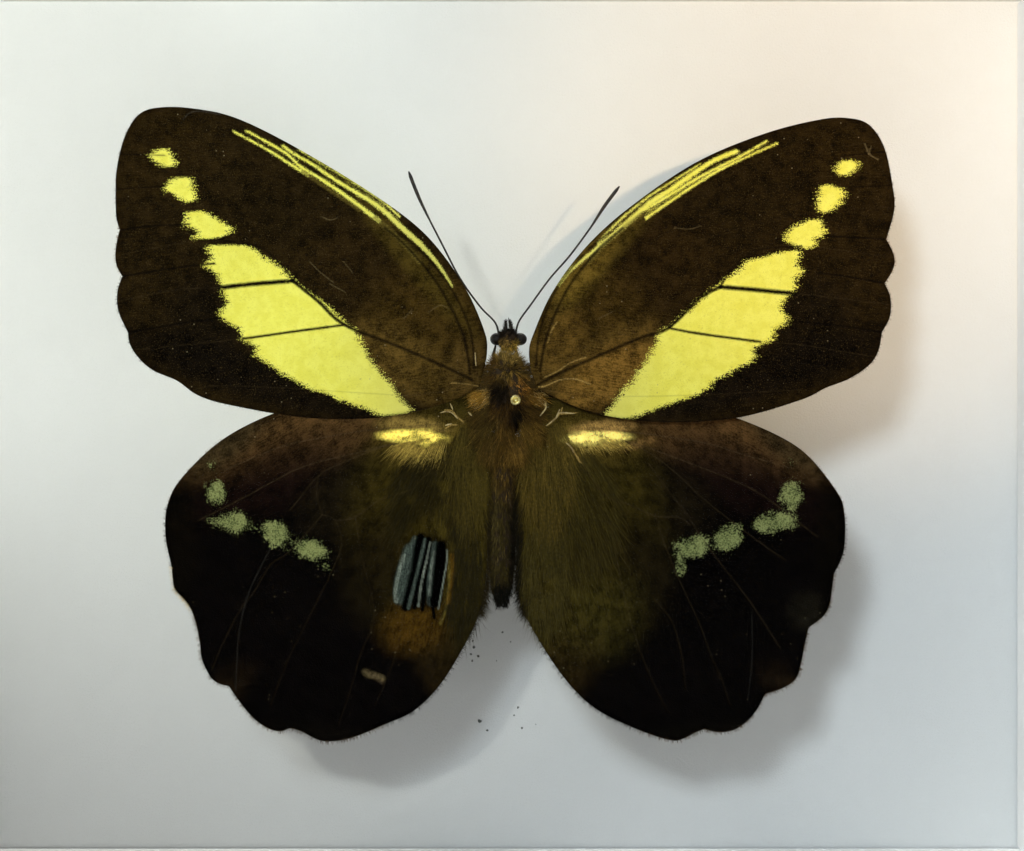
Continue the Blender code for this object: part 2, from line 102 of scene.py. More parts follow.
FOREWING_LEFT = [
    [(483, 372), (487, 352), (484, 330), (463, 284), (425, 234), (370, 192), (300, 150),
     (240, 120), (200, 110), (165, 108), (141, 115), (126, 139), (118, 172), (117, 205),
     (118, 220), (121, 230)],
    [(121, 230), (118, 244), (117, 257), (119, 268), (124, 277)],
    [(124, 277), (120, 289), (119, 302), (122, 316), (130, 333)],
    [(130, 333), (132, 345), (141, 359), (155, 371), (178, 381), (200, 396), (235, 406),
     (310, 418), (385, 417), (445, 403), (479, 388)],
]
FOREWING_RIGHT = [
    [(531, 372), (529, 352), (533, 335), (552, 293), (585, 248), (630, 207), (695, 163),
     (765, 134), (820, 120), (848, 119), (868, 126), (883, 149), (891, 185), (893, 210),
     (885, 240)],
    [(885, 240), (891, 252), (893, 263), (890, 273), (883, 284)],
    [(883, 284), (888, 296), (889, 308), (887, 320), (880, 333)],
    [(880, 333), (877, 350), (868, 365), (848, 379), (825, 388), (800, 400), (735, 418),
     (660, 422), (595, 413), (548, 394), (536, 386)],
]
HINDWING_LEFT = [
    [(481, 384), (455, 391), (425, 398), (400, 400), (350, 402), (310, 406), (272, 414), (222, 440),
     (182, 478), (168, 505), (166, 535), (172, 567)],
    [(172, 567), (173, 580), (175, 590), (184, 600), (191, 610)],
    [(191, 610), (196, 625), (200, 646)],
    [(200, 646), (202, 660), (210, 676), (218, 683), (229, 686)],
    [(229, 686), (240, 702), (252, 717), (266, 728), (279, 732), (289, 729)],
    [(289, 729), (300, 732), (322, 742), (350, 739), (385, 725), (413, 712), (437, 689),
     (457, 659), (476, 622), (485, 585), (487, 540), (487, 490), (486, 455), (483, 432)],
]
HINDWING_RIGHT = [
    [(531, 384), (552, 392), (580, 403), (610, 410), (660, 411), (705, 412), (745, 421), (800, 449),
     (836, 491), (844, 514), (844, 545), (840, 561), (834, 573)],
    [(834, 573), (832, 590), (830, 604), (824, 616), (809, 628)],
    [(809, 628), (805, 645), (802, 660), (797, 677), (785, 687), (765, 694)],
    [(765, 694), (758, 708), (747, 722), (733, 731), (718, 733), (705, 730)],
    [(705, 730), (695, 734), (683, 740), (670, 741), (637, 730), (595, 709), (563, 677),
     (532, 629), (520, 600), (519, 560), (519, 500), (521, 455), (525, 435)],
]

# Colours as they look in the photograph, 0 to 255
INKS = {
    "umber": (20, 14, 6),
    "fold": (6, 4, 3),
    # Near-black ink: painted shadow in the slits of the torn patch
    "slit_shadow": (1, 1, 1),
    "dust": (66, 54, 36),
    "grey": (66, 64, 58),
    # gold: the golden vein roots, lightened as a painted highlight of their gloss
    "gold": (168, 138, 76),
    "olive": (104, 90, 38),
    "pale": (120, 104, 70),
    "slate": (72, 82, 74),
    "slate_light": (136, 144, 130),
    "orange": (96, 66, 20),
}

# Lines on the wings: ink, half width in pixels, relief in millimetres, opacity, route in pixels
FOREWING_LEFT_LINES = [
    ("umber", 1.3, 0.12, 0.9, [(472, 380), (452, 370), (400, 347), (345, 325), (318, 301), (293, 281)]),
    ("umber", 0.8, 0.08, 0.8, [(293, 281), (282, 265), (262, 248), (235, 242), (200, 241)]),
    ("umber", 0.9, 0.06, 0.9, [(345, 325), (300, 331), (243, 339)]),
    ("dust", 0.7, 0.06, 0.22, [(243, 339), (160, 348), (133, 350)]),
    ("fold", 1.7, 0.08, 0.95, [(293, 281), (255, 284), (220, 288)]),
    ("dust", 0.7, 0.06, 0.22, [(220, 288), (180, 290), (140, 298), (119, 302)]),
    ("dust", 0.6, 0.05, 0.14, [(200, 241), (150, 250), (117, 257)]),
    ("fold", 0.9, -0.05, 0.8, [(121, 231), (150, 227), (190, 225)]),
    ("fold", 0.9, -0.05, 0.8, [(124, 277), (180, 268), (215, 264)]),
    ("fold", 0.9, -0.05, 0.8, [(130, 333), (175, 325), (220, 318)]),
    ("fold", 0.8, -0.04, 0.7, [(120, 190), (165, 187)]),
    ("fold", 0.8, -0.04, 0.7, [(121, 155), (165, 156)]),
    ("dust", 0.5, 0.05, 0.08, [(300, 235), (250, 222), (200, 207), (118, 203)]),
    ("dust", 0.5, 0.05, 0.08, [(300, 215), (240, 190), (190, 174), (119, 172)]),
    ("dust", 0.5, 0.05, 0.08, [(300, 192), (240, 165), (180, 147), (124, 140)]),
    ("dust", 0.6, 0.06, 0.19, [(470, 388), (430, 393), (400, 395), (300, 389), (220, 386), (190, 391)]),
    ("olive", 1.5, 0.0, 0.7, [(303, 172), (330, 190), (360, 210)]),
    ("olive", 2.0, 0.0, 0.7, [(375, 218), (400, 240), (420, 262)]),
    ("umber", 1.1, 0.10, 0.85, [(470, 374), (463, 335), (440, 288), (412, 252), (385, 228)]),
    ("umber", 0.9, 0.10, 0.8, [(474, 366), (470, 330), (452, 290), (425, 255), (398, 232)]),
    ("pale", 0.45, 0.03, 0.35, [(310, 262), (320, 272), (334, 283)]),
    ("pale", 0.45, 0.03, 0.35, [(330, 284), (345, 292)]),
    ("pale", 0.45, 0.03, 0.28, [(344, 262), (352, 272)]),
    # The next two pale marks are painted glints on the scales
    ("pale", 0.45, 0.03, 0.24, [(430, 311), (440, 305), (448, 308)]),
    ("pale", 0.45, 0.03, 0.24, [(404, 318), (410, 312)]),
    ("pale", 0.45, 0.03, 0.35, [(322, 217), (330, 220), (337, 218)]),
    ("grey", 0.7, 0.06, 0.39, [(184, 120), (190, 114), (200, 112), (225, 116), (245, 123)]),
    ("gold", 0.4, 0.14, 0.40, [(478, 386), (466, 384), (452, 383)]),
]
FOREWING_RIGHT_LINES = [
    ("umber", 1.3, 0.12, 0.9, [(537, 385), (560, 373), (600, 355), (640, 338), (668, 328), (700, 298),
                               (720, 287)]),
    ("umber", 0.8, 0.08, 0.8, [(720, 287), (735, 265), (760, 250), (800, 247)]),
    ("umber", 0.9, 0.06, 0.9, [(668, 328), (700, 334), (760, 342)]),
    ("dust", 0.7, 0.06, 0.22, [(760, 342), (800, 345), (860, 355), (877, 358)]),
    ("fold", 1.7, 0.08, 0.95, [(720, 287), (755, 290), (795, 294)]),
    ("dust", 0.7, 0.06, 0.22, [(795, 294), (830, 298), (886, 305)]),
    ("dust", 0.6, 0.05, 0.14, [(800, 247), (830, 250), (892, 258)]),
    ("fold", 0.9, -0.05, 0.8, [(825, 237), (850, 238), (885, 240)]),
    ("fold", 0.9, -0.05, 0.8, [(815, 273), (850, 278), (883, 284)]),
    ("fold", 0.9, -0.05, 0.8, [(800, 322), (840, 326), (880, 333)]),
    ("fold", 0.8, -0.04, 0.7, [(845, 188), (890, 186)]),
    ("fold", 0.8, -0.04, 0.7, [(845, 156), (884, 153)]),
    ("dust", 0.5, 0.05, 0.08, [(700, 240), (755, 226), (810, 213), (893, 208)]),
    ("dust", 0.5, 0.05, 0.08, [(700, 218), (765, 195), (820, 178), (889, 175)]),
    ("dust", 0.5, 0.05, 0.08, [(705, 195), (765, 168), (825, 150), (880, 143)]),
    ("dust", 0.6, 0.06, 0.19, [(540, 390), (610, 396), (700, 395), (760, 392), (800, 390)]),
    ("olive", 2.0, 0.0, 0.7, [(588, 262), (612, 238), (642, 214)]),
    ("umber", 1.1, 0.10, 0.85, [(540, 372), (547, 335), (568, 288), (596, 252), (623, 228)]),
    ("umber", 0.9, 0.10, 0.8, [(536, 366), (540, 330), (556, 290), (583, 255), (610, 232)]),
    ("gold", 0.4, 0.16, 0.72, [(538, 387), (545, 386), (560, 380), (575, 379), (590, 384)]),
    ("gold", 0.4, 0.14, 0.56, [(545, 377), (558, 371), (570, 363), (586, 357)]),
    ("gold", 0.4, 0.12, 0.48, [(548, 342), (552, 330), (557, 322)]),
    ("pale", 0.45, 0.03, 0.56, [(864, 145), (868, 155), (876, 160)]),
    ("pale", 0.45, 0.03, 0.42, [(868, 155), (870, 147)]),
    ("pale", 0.45, 0.03, 0.28, [(676, 228), (690, 229), (700, 226)]),
    ("pale", 0.45, 0.03, 0.24, [(600, 318), (612, 312)]),
]
HINDWING_LEFT_LINES = [
    ("dust", 0.7, 0.08, 0.33, [(440, 424), (370, 430), (320, 438), (280, 447), (225, 470)]),
    ("dust", 0.7, 0.08, 0.33, [(445, 430), (360, 452), (305, 466), (270, 483), (245, 497), (200, 520)]),
    ("dust", 0.7, 0.08, 0.28, [(430, 436), (380, 448), (345, 462), (318, 476), (290, 510)]),
    ("dust", 0.7, 0.08, 0.22, [(318, 476), (316, 495), (322, 515)]),
    ("dust", 0.8, 0.09, 0.25, [(440, 460), (425, 476), (410, 490), (380, 500), (355, 517), (335, 521)]),
    ("dust", 0.6, 0.07, 0.19, [(322, 515), (335, 521), (341, 545), (330, 575), (320, 595), (305, 625),
                               (290, 655), (280, 680), (270, 706)]),
    ("dust", 0.6, 0.07, 0.22, [(322, 515), (300, 540), (285, 555), (270, 565), (255, 590), (240, 610),
                              (222, 645), (212, 670)]),
    ("grey", 0.6, 0.07, 0.25, [(272, 545), (258, 572), (246, 600), (238, 640), (236, 690)]),
    ("dust", 0.6, 0.07, 0.19, [(355, 517), (362, 560), (372, 600), (372, 625), (360, 655), (350, 690),
                               (338, 725)]),
    ("dust", 0.6, 0.07, 0.17, [(385, 505), (400, 560), (402, 620), (392, 665), (375, 705)]),
    ("umber", 0.9, 0.07, 0.5, [(460, 440), (450, 500), (446, 560), (444, 620), (428, 690)]),
    ("umber", 0.9, 0.07, 0.5, [(470, 440), (472, 500), (470, 560), (464, 620)]),
    ("olive", 1.2, 0.05, 0.6, [(446, 545), (449, 575), (447, 605), (440, 625)]),
    ("pale", 2.6, 0.0, 0.6, [(366, 674), (374, 677), (382, 680)]),
    ("dust", 1.2, 0.0, 0.55, [(368, 673), (374, 679), (382, 684)]),
    ("gold", 0.4, 0.16, 0.76, [(445, 410), (452, 411), (457, 417), (462, 421)]),
    ("gold", 0.4, 0.14, 0.68, [(446, 428), (451, 425), (456, 425)]),
    ("gold", 0.4, 0.14, 0.48, [(469, 412), (474, 417), (478, 422)]),
]
# A torn patch on the left hindwing: grey-green stripes of bare membrane, with near-black grooves between them
# painted as the shadow in its slits
BARE_PATCH = [
    ("fold", 19.0, 0.0, 0.9, [(428, 556), (422, 575), (416, 592)]),
    ("slate", 6.0, 0.12, 0.95, [(410, 551), (405, 566), (401, 583), (400, 599)]),
    ("slate", 3.2, 0.10, 0.95, [(415, 540), (411, 549)]),
    ("slate_light", 1.6, 0.10, 0.6, [(404, 556), (399, 572), (395, 590), (396, 602)]),
    ("slit_shadow", 4.2, -0.20, 1.0, [(420, 538), (417, 552), (414.5, 572), (409, 592), (405, 608)]),
    ("slate", 1.5, 0.14, 0.95, [(425, 540), (421, 556), (416, 577), (411, 596), (408, 609)]),
    ("slit_shadow", 2.3, -0.20, 1.0, [(428, 540), (425, 558), (419, 580), (414, 608)]),
    ("slate_light", 0.8, 0.12, 0.8, [(430, 543), (426, 562), (421, 584), (418, 607)]),
    ("slit_shadow", 1.8, -0.18, 1.0, [(431, 548), (428, 570), (424, 590), (422, 611)]),
    ("slate", 2.8, 0.14, 0.95, [(435, 545), (433, 560), (430, 580), (430, 604)]),
    ("slate_light", 0.9, 0.12, 0.7, [(434, 552), (431, 572), (429, 596)]),
    ("slit_shadow", 6.2, -0.24, 1.0, [(441, 547), (440, 560), (438, 580), (435, 603)]),
    ("slit_shadow", 1.6, -0.15, 1.0, [(431, 600), (433, 612), (434, 619)]),
    ("slate_light", 0.6, 0.10, 0.7, [(447, 551), (446, 566), (442, 588), (438, 610)]),
    ("orange", 2.2, 0.04, 0.6, [(452, 556), (452, 580), (448, 604)]),
]
HINDWING_RIGHT_LINES = [
    ("dust", 0.7, 0.08, 0.33, [(590, 428), (615, 430), (700, 442), (745, 455), (790, 468)]),
    ("dust", 0.7, 0.08, 0.33, [(600, 436), (640, 445), (700, 467), (735, 481), (765, 497), (815, 535)]),
    ("dust", 0.7, 0.08, 0.28, [(620, 440), (645, 450), (675, 472), (705, 500), (750, 535), (785, 560)]),
    ("dust", 0.7, 0.08, 0.28, [(650, 465), (668, 490), (686, 513), (700, 535), (718, 560), (745, 595),
                              (757, 612), (780, 648)]),
    ("dust", 0.8, 0.09, 0.28, [(560, 440), (580, 460), (605, 495), (630, 505), (655, 516), (680, 518),
                              (690, 525)]),
    ("dust", 0.6, 0.07, 0.25, [(655, 516), (665, 545), (677, 575), (685, 592), (700, 625), (712, 658),
                               (722, 680), (730, 705)]),
    ("dust", 0.6, 0.07, 0.22, [(655, 600), (672, 622), (682, 655), (686, 690)]),
    ("dust", 0.6, 0.07, 0.22, [(610, 520), (625, 600), (640, 650), (652, 680), (668, 712)]),
    ("grey", 0.6, 0.07, 0.19, [(752, 612), (752, 655), (748, 700)]),
    ("umber", 0.9, 0.07, 0.5, [(545, 440), (556, 500), (562, 560), (575, 620), (600, 670)]),
    ("umber", 0.9, 0.07, 0.5, [(535, 440), (538, 500), (540, 560), (548, 620)]),
    ("umber", 0.8, 0.07, 0.4, [(575, 462), (590, 520), (600, 580), (612, 640)]),
    ("gold", 0.4, 0.18, 0.76, [(567, 443), (573, 450), (580, 462)]),
    ("gold", 0.4, 0.16, 0.76, [(548, 425), (556, 418), (561, 414), (575, 413)]),
    ("gold", 0.4, 0.16, 0.72, [(561, 414), (562, 409)]),
    ("gold", 0.4, 0.16, 0.76, [(538, 418), (544, 411), (546, 403)]),
]

# Yellow band and spots of the forewings, as closed outlines
# Yellow streaks along the front edges: half width at each end in pixels, route
STREAKS_LEFT = [
    (0.8, 1.4, [(234, 132), (255, 143), (275, 154.5), (295, 167.5), (308, 175)]),
    (0.9, 2.0, [(247, 131.5), (268, 143), (288, 155), (301, 167), (321, 179), (341, 192.5), (361, 207),
                (379, 221)]),
    (1.0, 2.6, [(283, 146), (295, 154.5), (315, 166), (334, 179), (354, 191), (379, 207), (400, 226),
                (420, 244)]),
    (2.4, 0.8, [(420, 244), (437, 263), (452, 286)]),
    (0.5, 1.0, [(298, 149.5), (324, 164.5), (354, 182.5), (380, 199.5), (400, 217)]),
]
STREAKS_RIGHT = [
    (1.0, 2.6, [(559, 285), (568, 273), (580, 262), (600, 246), (625, 225)]),
    (2.6, 2.0, [(625, 225), (650, 203), (670, 190), (710, 163), (736, 152)]),
    (1.6, 0.9, [(640, 212), (668, 196), (700, 177), (740, 157), (766, 142)]),
    (1.4, 0.8, [(646, 218), (690, 188), (720, 170), (750, 156), (777, 144)]),
    (1.0, 0.5, [(598, 243), (620, 220), (648, 197), (668, 184), (700, 164)]),
]
YELLOW_LEFT = [
    [(151, 157), (158, 151), (168, 150), (175, 160), (176, 166), (166, 167), (157, 162)],
    [(166, 190), (173, 180), (184, 178), (192, 180), (195, 190), (196, 200), (188, 203), (181, 199),
     (174, 194)],
    [(187, 214), (200, 212), (212, 216), (225, 224), (233, 230), (225, 236), (214, 239), (195, 239),
     (200, 232), (186, 226), (188, 220)],
    [(208, 247), (222, 246), (245, 246), (255, 250), (265, 258), (280, 267), (290, 278), (300, 287),
     (320, 301), (340, 318), (346, 325), (354, 329), (360, 340), (366, 352), (372, 362), (382, 375),
     (390, 383), (396, 393), (403, 402), (412, 411), (398, 414), (380, 415), (370, 410), (355, 405),
     (340, 400), (325, 393), (310, 389), (300, 383), (285, 375), (275, 368), (265, 361), (255, 354),
     (258, 347), (245, 341), (240, 330), (225, 320), (220, 312), (228, 303), (224, 295), (223, 288),
     (216, 273), (206, 266), (213, 257)],
]
YELLOW_RIGHT = [
    [(838, 175), (835, 168), (845, 161), (858, 165), (852, 172), (845, 176)],
    [(819, 190), (822, 186), (833, 187), (842, 192), (843, 198), (837, 206), (829, 212), (820, 213),
     (816, 208), (818, 198)],
    [(784, 239), (790, 230), (798, 225), (808, 221), (819, 221), (822, 228), (822, 236), (812, 240),
     (815, 245), (806, 249), (795, 246)],
    [(722, 283), (728, 277), (740, 270), (745, 262), (757, 259), (780, 253), (799, 252), (796, 265),
     (802, 272), (793, 280), (797, 286), (790, 293), (783, 302), (781, 312), (788, 318), (783, 325),
     (775, 330), (771, 340), (757, 346), (752, 352), (755, 357), (745, 365), (733, 370), (725, 376),
     (715, 380), (708, 388), (700, 393), (690, 397), (675, 402), (660, 407), (645, 413), (630, 418),
     (606, 418), (613, 405), (620, 395), (632, 382), (640, 370), (648, 358), (655, 345), (660, 333),
     (672, 325), (685, 314), (695, 305), (708, 294)],
]

# Speckled grey-green spots of the hindwings: centre, half sizes in pixels, tilt in degrees
SPOTS_LEFT = [
    (213, 467, 8, 9, 0, 0.35), (216, 493, 11, 13, 10, 0.9), (233, 523, 21, 10, -4, 1.0),
    (276, 534, 16, 12, -32, 0.95), (310, 550, 18, 11, -14, 1.0), (327, 566, 6, 13, 18, 0.6),
]
SPOTS_RIGHT = [
    (790, 465, 8, 9, 0, 0.35), (792, 496, 11, 14, -8, 0.95), (774, 523, 21, 10, 6, 1.0),
    (728, 539, 16, 13, 30, 1.0), (692, 548, 18, 11, 14, 1.0), (681, 565, 6, 14, -16, 0.7),
]

# Soft patches of ground colour: centre, half sizes, tilt, softness, strength, colour
FOREWING_GROUND = (31, 22, 8)
FOREWING_PATCHES = [
    (145, 150, 60, 50, 0, 0.5, 0.5, (38, 27, 9)),
    (240, 372, 125, 22, -17, 0.5, 0.9, (12, 8, 5)),
    (205, 325, 40, 45, 0, 0.5, 0.7, (14, 10, 6)),
    (330, 400, 80, 14, -8, 0.5, 0.7, (20, 14, 7)),
    (290, 215, 70, 25, -20, 0.6, 0.6, (24, 17, 6)),
    (365, 270, 60, 45, -30, 0.6, 0.8, (36, 25, 9)),
    (430, 320, 55, 60, -50, 0.5, 0.9, (57, 42, 14)),
    (405, 362, 62, 26, -35, 0.35, 0.95, (80, 61, 25)),
    (440, 385, 30, 16, -20, 0.5, 0.7, (60, 45, 16)),
    (405, 250, 95, 13, -51, 0.5, 0.8, (62, 50, 16)),
    (470, 372, 22, 30, 0, 0.5, 0.8, (74, 56, 24)),
]
HINDWING_GROUND = (3, 2, 2)
HINDWING_PATCHES = [
    (290, 440, 120, 30, 12, 0.5, 0.95, (70, 50, 26)),
    (270, 478, 80, 30, 24, 0.6, 0.8, (18, 9, 7)),
    (225, 440, 50, 20, 38, 0.5, 0.8, (40, 33, 19)),
    (352, 500, 50, 35, 20, 0.6, 0.8, (22, 17, 8)),
    (180, 540, 16, 70, 0, 0.7, 0.7, (7, 5, 2)),
    (420, 500, 62, 110, -12, 0.45, 0.95, (44, 36, 9)),
    (465, 540, 36, 130, 0, 0.4, 0.9, (56, 47, 15)),
    (445, 440, 60, 22, 6, 0.5, 0.9, (74, 60, 22)),
    (372, 570, 30, 50, -10, 0.6, 0.8, (20, 15, 6)),
    (445, 665, 26, 50, 28, 0.5, 0.85, (33, 24, 8)),
    (320, 735, 70, 8, -6, 0.8, 0.7, (12, 9, 5)),
    (225, 690, 30, 14, 40, 0.8, 0.6, (34, 24, 12)),
]
FOREWING_PATCHES_RIGHT = [
    (604, 378, 52, 24, 32, 0.4, 0.9, (112, 83, 34)),
    (556, 345, 24, 34, -20, 0.5, 0.8, (88, 66, 26)),
    (584, 268, 14, 44, -38, 0.5, 0.7, (98, 78, 28)),
]
CREAM_PATCHES_LEFT = [
    (415, 626, 32, 24, 20, 0.6, 0.75, (72, 50, 12)),
    (412, 426, 33, 9, -4, 0.35, 0.7, (124, 102, 50)),
    (412, 437, 33, 7, -3, 0.25, 1.0, (252, 226, 100)),
]
CREAM_PATCHES_RIGHT = [
    (596, 612, 38, 40, -20, 0.8, 0.7, (54, 47, 16)),
    (806, 612, 16, 18, 0, 0.6, 0.8, (24, 21, 14)),
    (603, 428, 30, 7, 4, 0.35, 0.75, (156, 122, 66)),
    (597, 438, 33, 6, 3, 0.25, 1.0, (255, 232, 120)),
    (640, 444, 18, 4, 18, 0.5, 0.4, (130, 98, 52)),
]


def linear(colour):
    """A photograph colour, 0 to 255, as linear light."""
    part = np.asarray(colour, float) / 255
    return np.where(part <= 0.04045, part / 12.92, ((part + 0.055) / 1.055) ** 2.4)


def rgba(colour, gain=1.0):
    return (*[float(v) for v in linear(colour) * gain], 1.0)


def from_photo(points):
    """Places in the lying space of pixels of the photograph."""
    points = np.asarray(points, float)
    return np.column_stack(((points[:, 0] - MIDDLE_PX[0]) * PX, (MIDDLE_PX[1] - points[:, 1]) * PX))


def to_world(points):
    """Lying millimetres to the frame's metres."""
    x, y, z = np.asarray(points, float).T * MM
    return np.column_stack((x, BOARD_FACE - z, MIDDLE_HEIGHT + y))


def smooth_run(points, step, closed=False):
    """Points about a step apart on a smooth curve through the given points."""
    points = np.asarray(points, float)
    if closed:
        padded = np.vstack((points[-1:], points, points[:2]))
    else:
        padded = np.vstack((points[:1], points, points[-1:]))
    run = [points[0]]
    for a, b, c, d in zip(padded, padded[1:], padded[2:], padded[3:]):
        count = max(1, round(float(np.linalg.norm(c - b)) / step))
        for t in np.arange(1, count + 1) / count:
            run.append(0.5 * (2 * b + (c - a) * t + (2 * a - 5 * b + 4 * c - d) * t * t
                              + (3 * b - a - 3 * c + d) * t ** 3))
    return np.array(run[:-1] if closed else run)


def wing_outline(runs):
    """The wing's closed outline, with its sharp notches kept."""
    points = [smooth_run(from_photo(run), EDGE_STEP)[:-1] for run in runs]
    points.append(from_photo(runs[-1][-1:]))
    return np.vstack(points)


def line_distance(points, line):
    """Shortest distance from each point to an open line."""
    start, along = line[:-1], np.diff(line, axis=0)
    length2 = np.maximum((along ** 2).sum(1), 1e-12)
    offset = points[:, None] - start
    t = np.clip((offset * along).sum(2) / length2, 0, 1)
    gap = np.linalg.norm(offset - t[..., None] * along, axis=2)
    return gap.min(1)


def inside(points, loop):
    """Which points lie within a closed outline."""
    x, y = points[:, 0:1], points[:, 1:2]
    x0, y0 = loop.T
    x1, y1 = np.roll(loop, -1, axis=0).T
    spans = (y0 > y) != (y1 > y)
    rise = np.where(y1 == y0, 1e-12, y1 - y0)
    crossing = x0 + (y - y0) * (x1 - x0) / rise
    return ((spans & (x < crossing)).sum(1) % 2) == 1


def signed_distance(points, loop):
    """Distance to a closed outline, negative within it."""
    gap = line_distance(points, np.vstack((loop, loop[:1])))
    return np.where(inside(points, loop), -gap, gap)


def ellipse_reach(points, cx, cy, rx, ry, tilt):
    """Zero at the centre of an ellipse, given in pixels, and one on its edge."""
    centre = from_photo([(cx, cy)])[0]
    turn = math.radians(tilt)
    dx, dy = (points - centre).T
    along = (dx * math.cos(turn) + dy * math.sin(turn)) / (rx * PX)
    across = (-dx * math.sin(turn) + dy * math.cos(turn)) / (ry * PX)
    return np.hypot(along, across)


def smoothstep(low, high, value):
    t = np.clip((value - low) / (high - low), 0, 1)
    return t * t * (3 - 2 * t)


def ripple(points, count, longest, shortest, seed):
    """Soft random waves, about -1 to 1, from a few crossing sine waves."""
    draw = np.random.default_rng(seed)
    total = np.zeros(len(points))
    for index in range(count):
        length = longest * (shortest / longest) ** (index / max(1, count - 1))
        angle = draw.uniform(0, math.pi)
        k = 2 * math.pi / length
        phase = draw.uniform(0, 2 * math.pi)
        total += np.sin(k * (points[:, 0] * math.cos(angle) + points[:, 1] * math.sin(angle)) + phase)
    return total / math.sqrt(count)


def wing_height(root, x, y):
    """Height of a wing's middle surface, as in the frame."""
    out = np.abs(x)
    wave = np.sin(WAVE_OUTWARD * out + WAVE_FORWARD * y) * np.minimum(1.0, out / WAVE_START)
    return root + WING_RISE * (out - 3.0) + WAVE_HEIGHT * wave


def add_mesh(name, verts, faces, material, slot, values=None, smooth=True):
    """One visual piece from lying millimetres, riding on the frame."""
    mesh = bpy.data.meshes.new(name)
    mesh.from_pydata(to_world(verts).tolist(), [], faces)
    for key, data in (values or {}).items():
        store_attribute(mesh, key, data)
    if smooth:
        mesh.shade_smooth()
    mesh.materials.append(material)
    piece = bpy.data.objects.new(name, mesh)
    scene.collection.objects.link(piece)
    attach(piece, "root")
    return piece


def store_attribute(mesh, key, data):
    data = np.asarray(data, np.float32)
    if data.ndim == 1:
        mesh.attributes.new(key, "FLOAT", "POINT").data.foreach_set("value", data)
    elif data.shape[1] == 3:
        mesh.attributes.new(key, "FLOAT_VECTOR", "POINT").data.foreach_set("vector", data.ravel())
    else:
        mesh.attributes.new(key, "FLOAT_COLOR", "POINT").data.foreach_set("color", data.ravel())


class Shader:
    """A short way to write a material's node tree."""

    def __init__(self, name):
        self.material = bpy.data.materials.new(name)
        self.material.use_nodes = True
        self.tree = self.material.node_tree
        self.surface = self.tree.nodes["Principled BSDF"]

    def node(self, kind, **settings):
        made = self.tree.nodes.new("ShaderNode" + kind)
        for key, value in settings.items():
            setattr(made, key, value)
        return made

    def feed(self, socket, value):
        if isinstance(value, bpy.types.NodeSocket):
            self.tree.links.new(value, socket)
        else:
            socket.default_value = value

    def set(self, **values):
        """Feed the surface's sockets, named with underscores."""
        for key, value in values.items():
            self.feed(self.surface.inputs[key.replace("_", " ")], value)

    def math(self, operation, a, b=0.0):
        made = self.node("Math", operation=operation)
        self.feed(made.inputs[0], a)
        self.feed(made.inputs[1], b)
        return made.outputs[0]

    def mix(self, factor, a, b, blend="MIX"):
        made = self.node("Mix", data_type="RGBA", blend_type=blend, clamp_factor=True)
        self.feed(made.inputs["Factor"], factor)
        self.feed(made.inputs[6], a)
        self.feed(made.inputs[7], b)
        return made.outputs[2]

    def place(self, scale=(1000.0, 1000.0, 1000.0)):
        """The surface's own place in the frame, in millimetres unless scaled otherwise."""
        made = self.node("VectorMath", operation="MULTIPLY")
        self.feed(made.inputs[0], self.node("TexCoord").outputs["Object"])
        made.inputs[1].default_value = scale
        return made.outputs[0]

    def attribute(self, key, output="Fac"):
        return self.node("Attribute", attribute_name=key).outputs[output]

    def stretch(self, vector, scale):
        made = self.node("VectorMath", operation="MULTIPLY")
        self.feed(made.inputs[0], vector)
        made.inputs[1].default_value = scale
        return made.outputs[0]

    def noise(self, vector, scale, detail=2.0, roughness=0.5, output="Fac"):
        made = self.node("TexNoise")
        self.feed(made.inputs["Vector"], vector)
        made.inputs["Scale"].default_value = scale
        made.inputs["Detail"].default_value = detail
        made.inputs["Roughness"].default_value = roughness
        return made.outputs[output]

    def step(self, value, low, high, to_low=0.0, to_high=1.0):
        made = self.node("MapRange", interpolation_type="SMOOTHSTEP")
        for socket, given in zip(made.inputs, (value, low, high, to_low, to_high)):
            self.feed(socket, given)
        return made.outputs[0]

    def ramp(self, value, stops):
        made = self.node("ValToRGB")
        self.feed(made.inputs[0], value)
        elements = made.color_ramp.elements
        elements[0].position, elements[0].color = stops[0]
        elements[1].position, elements[1].color = stops[-1]
        for position, colour in stops[1:-1]:
            elements.new(position).color = colour
        return made.outputs[0]

    def bump(self, height, distance, strength=1.0):
        made = self.node("Bump")
        made.inputs["Strength"].default_value = strength
        made.inputs["Distance"].default_value = distance
        self.feed(made.inputs["Height"], height)
        self.feed(self.surface.inputs["Normal"], made.outputs[0])


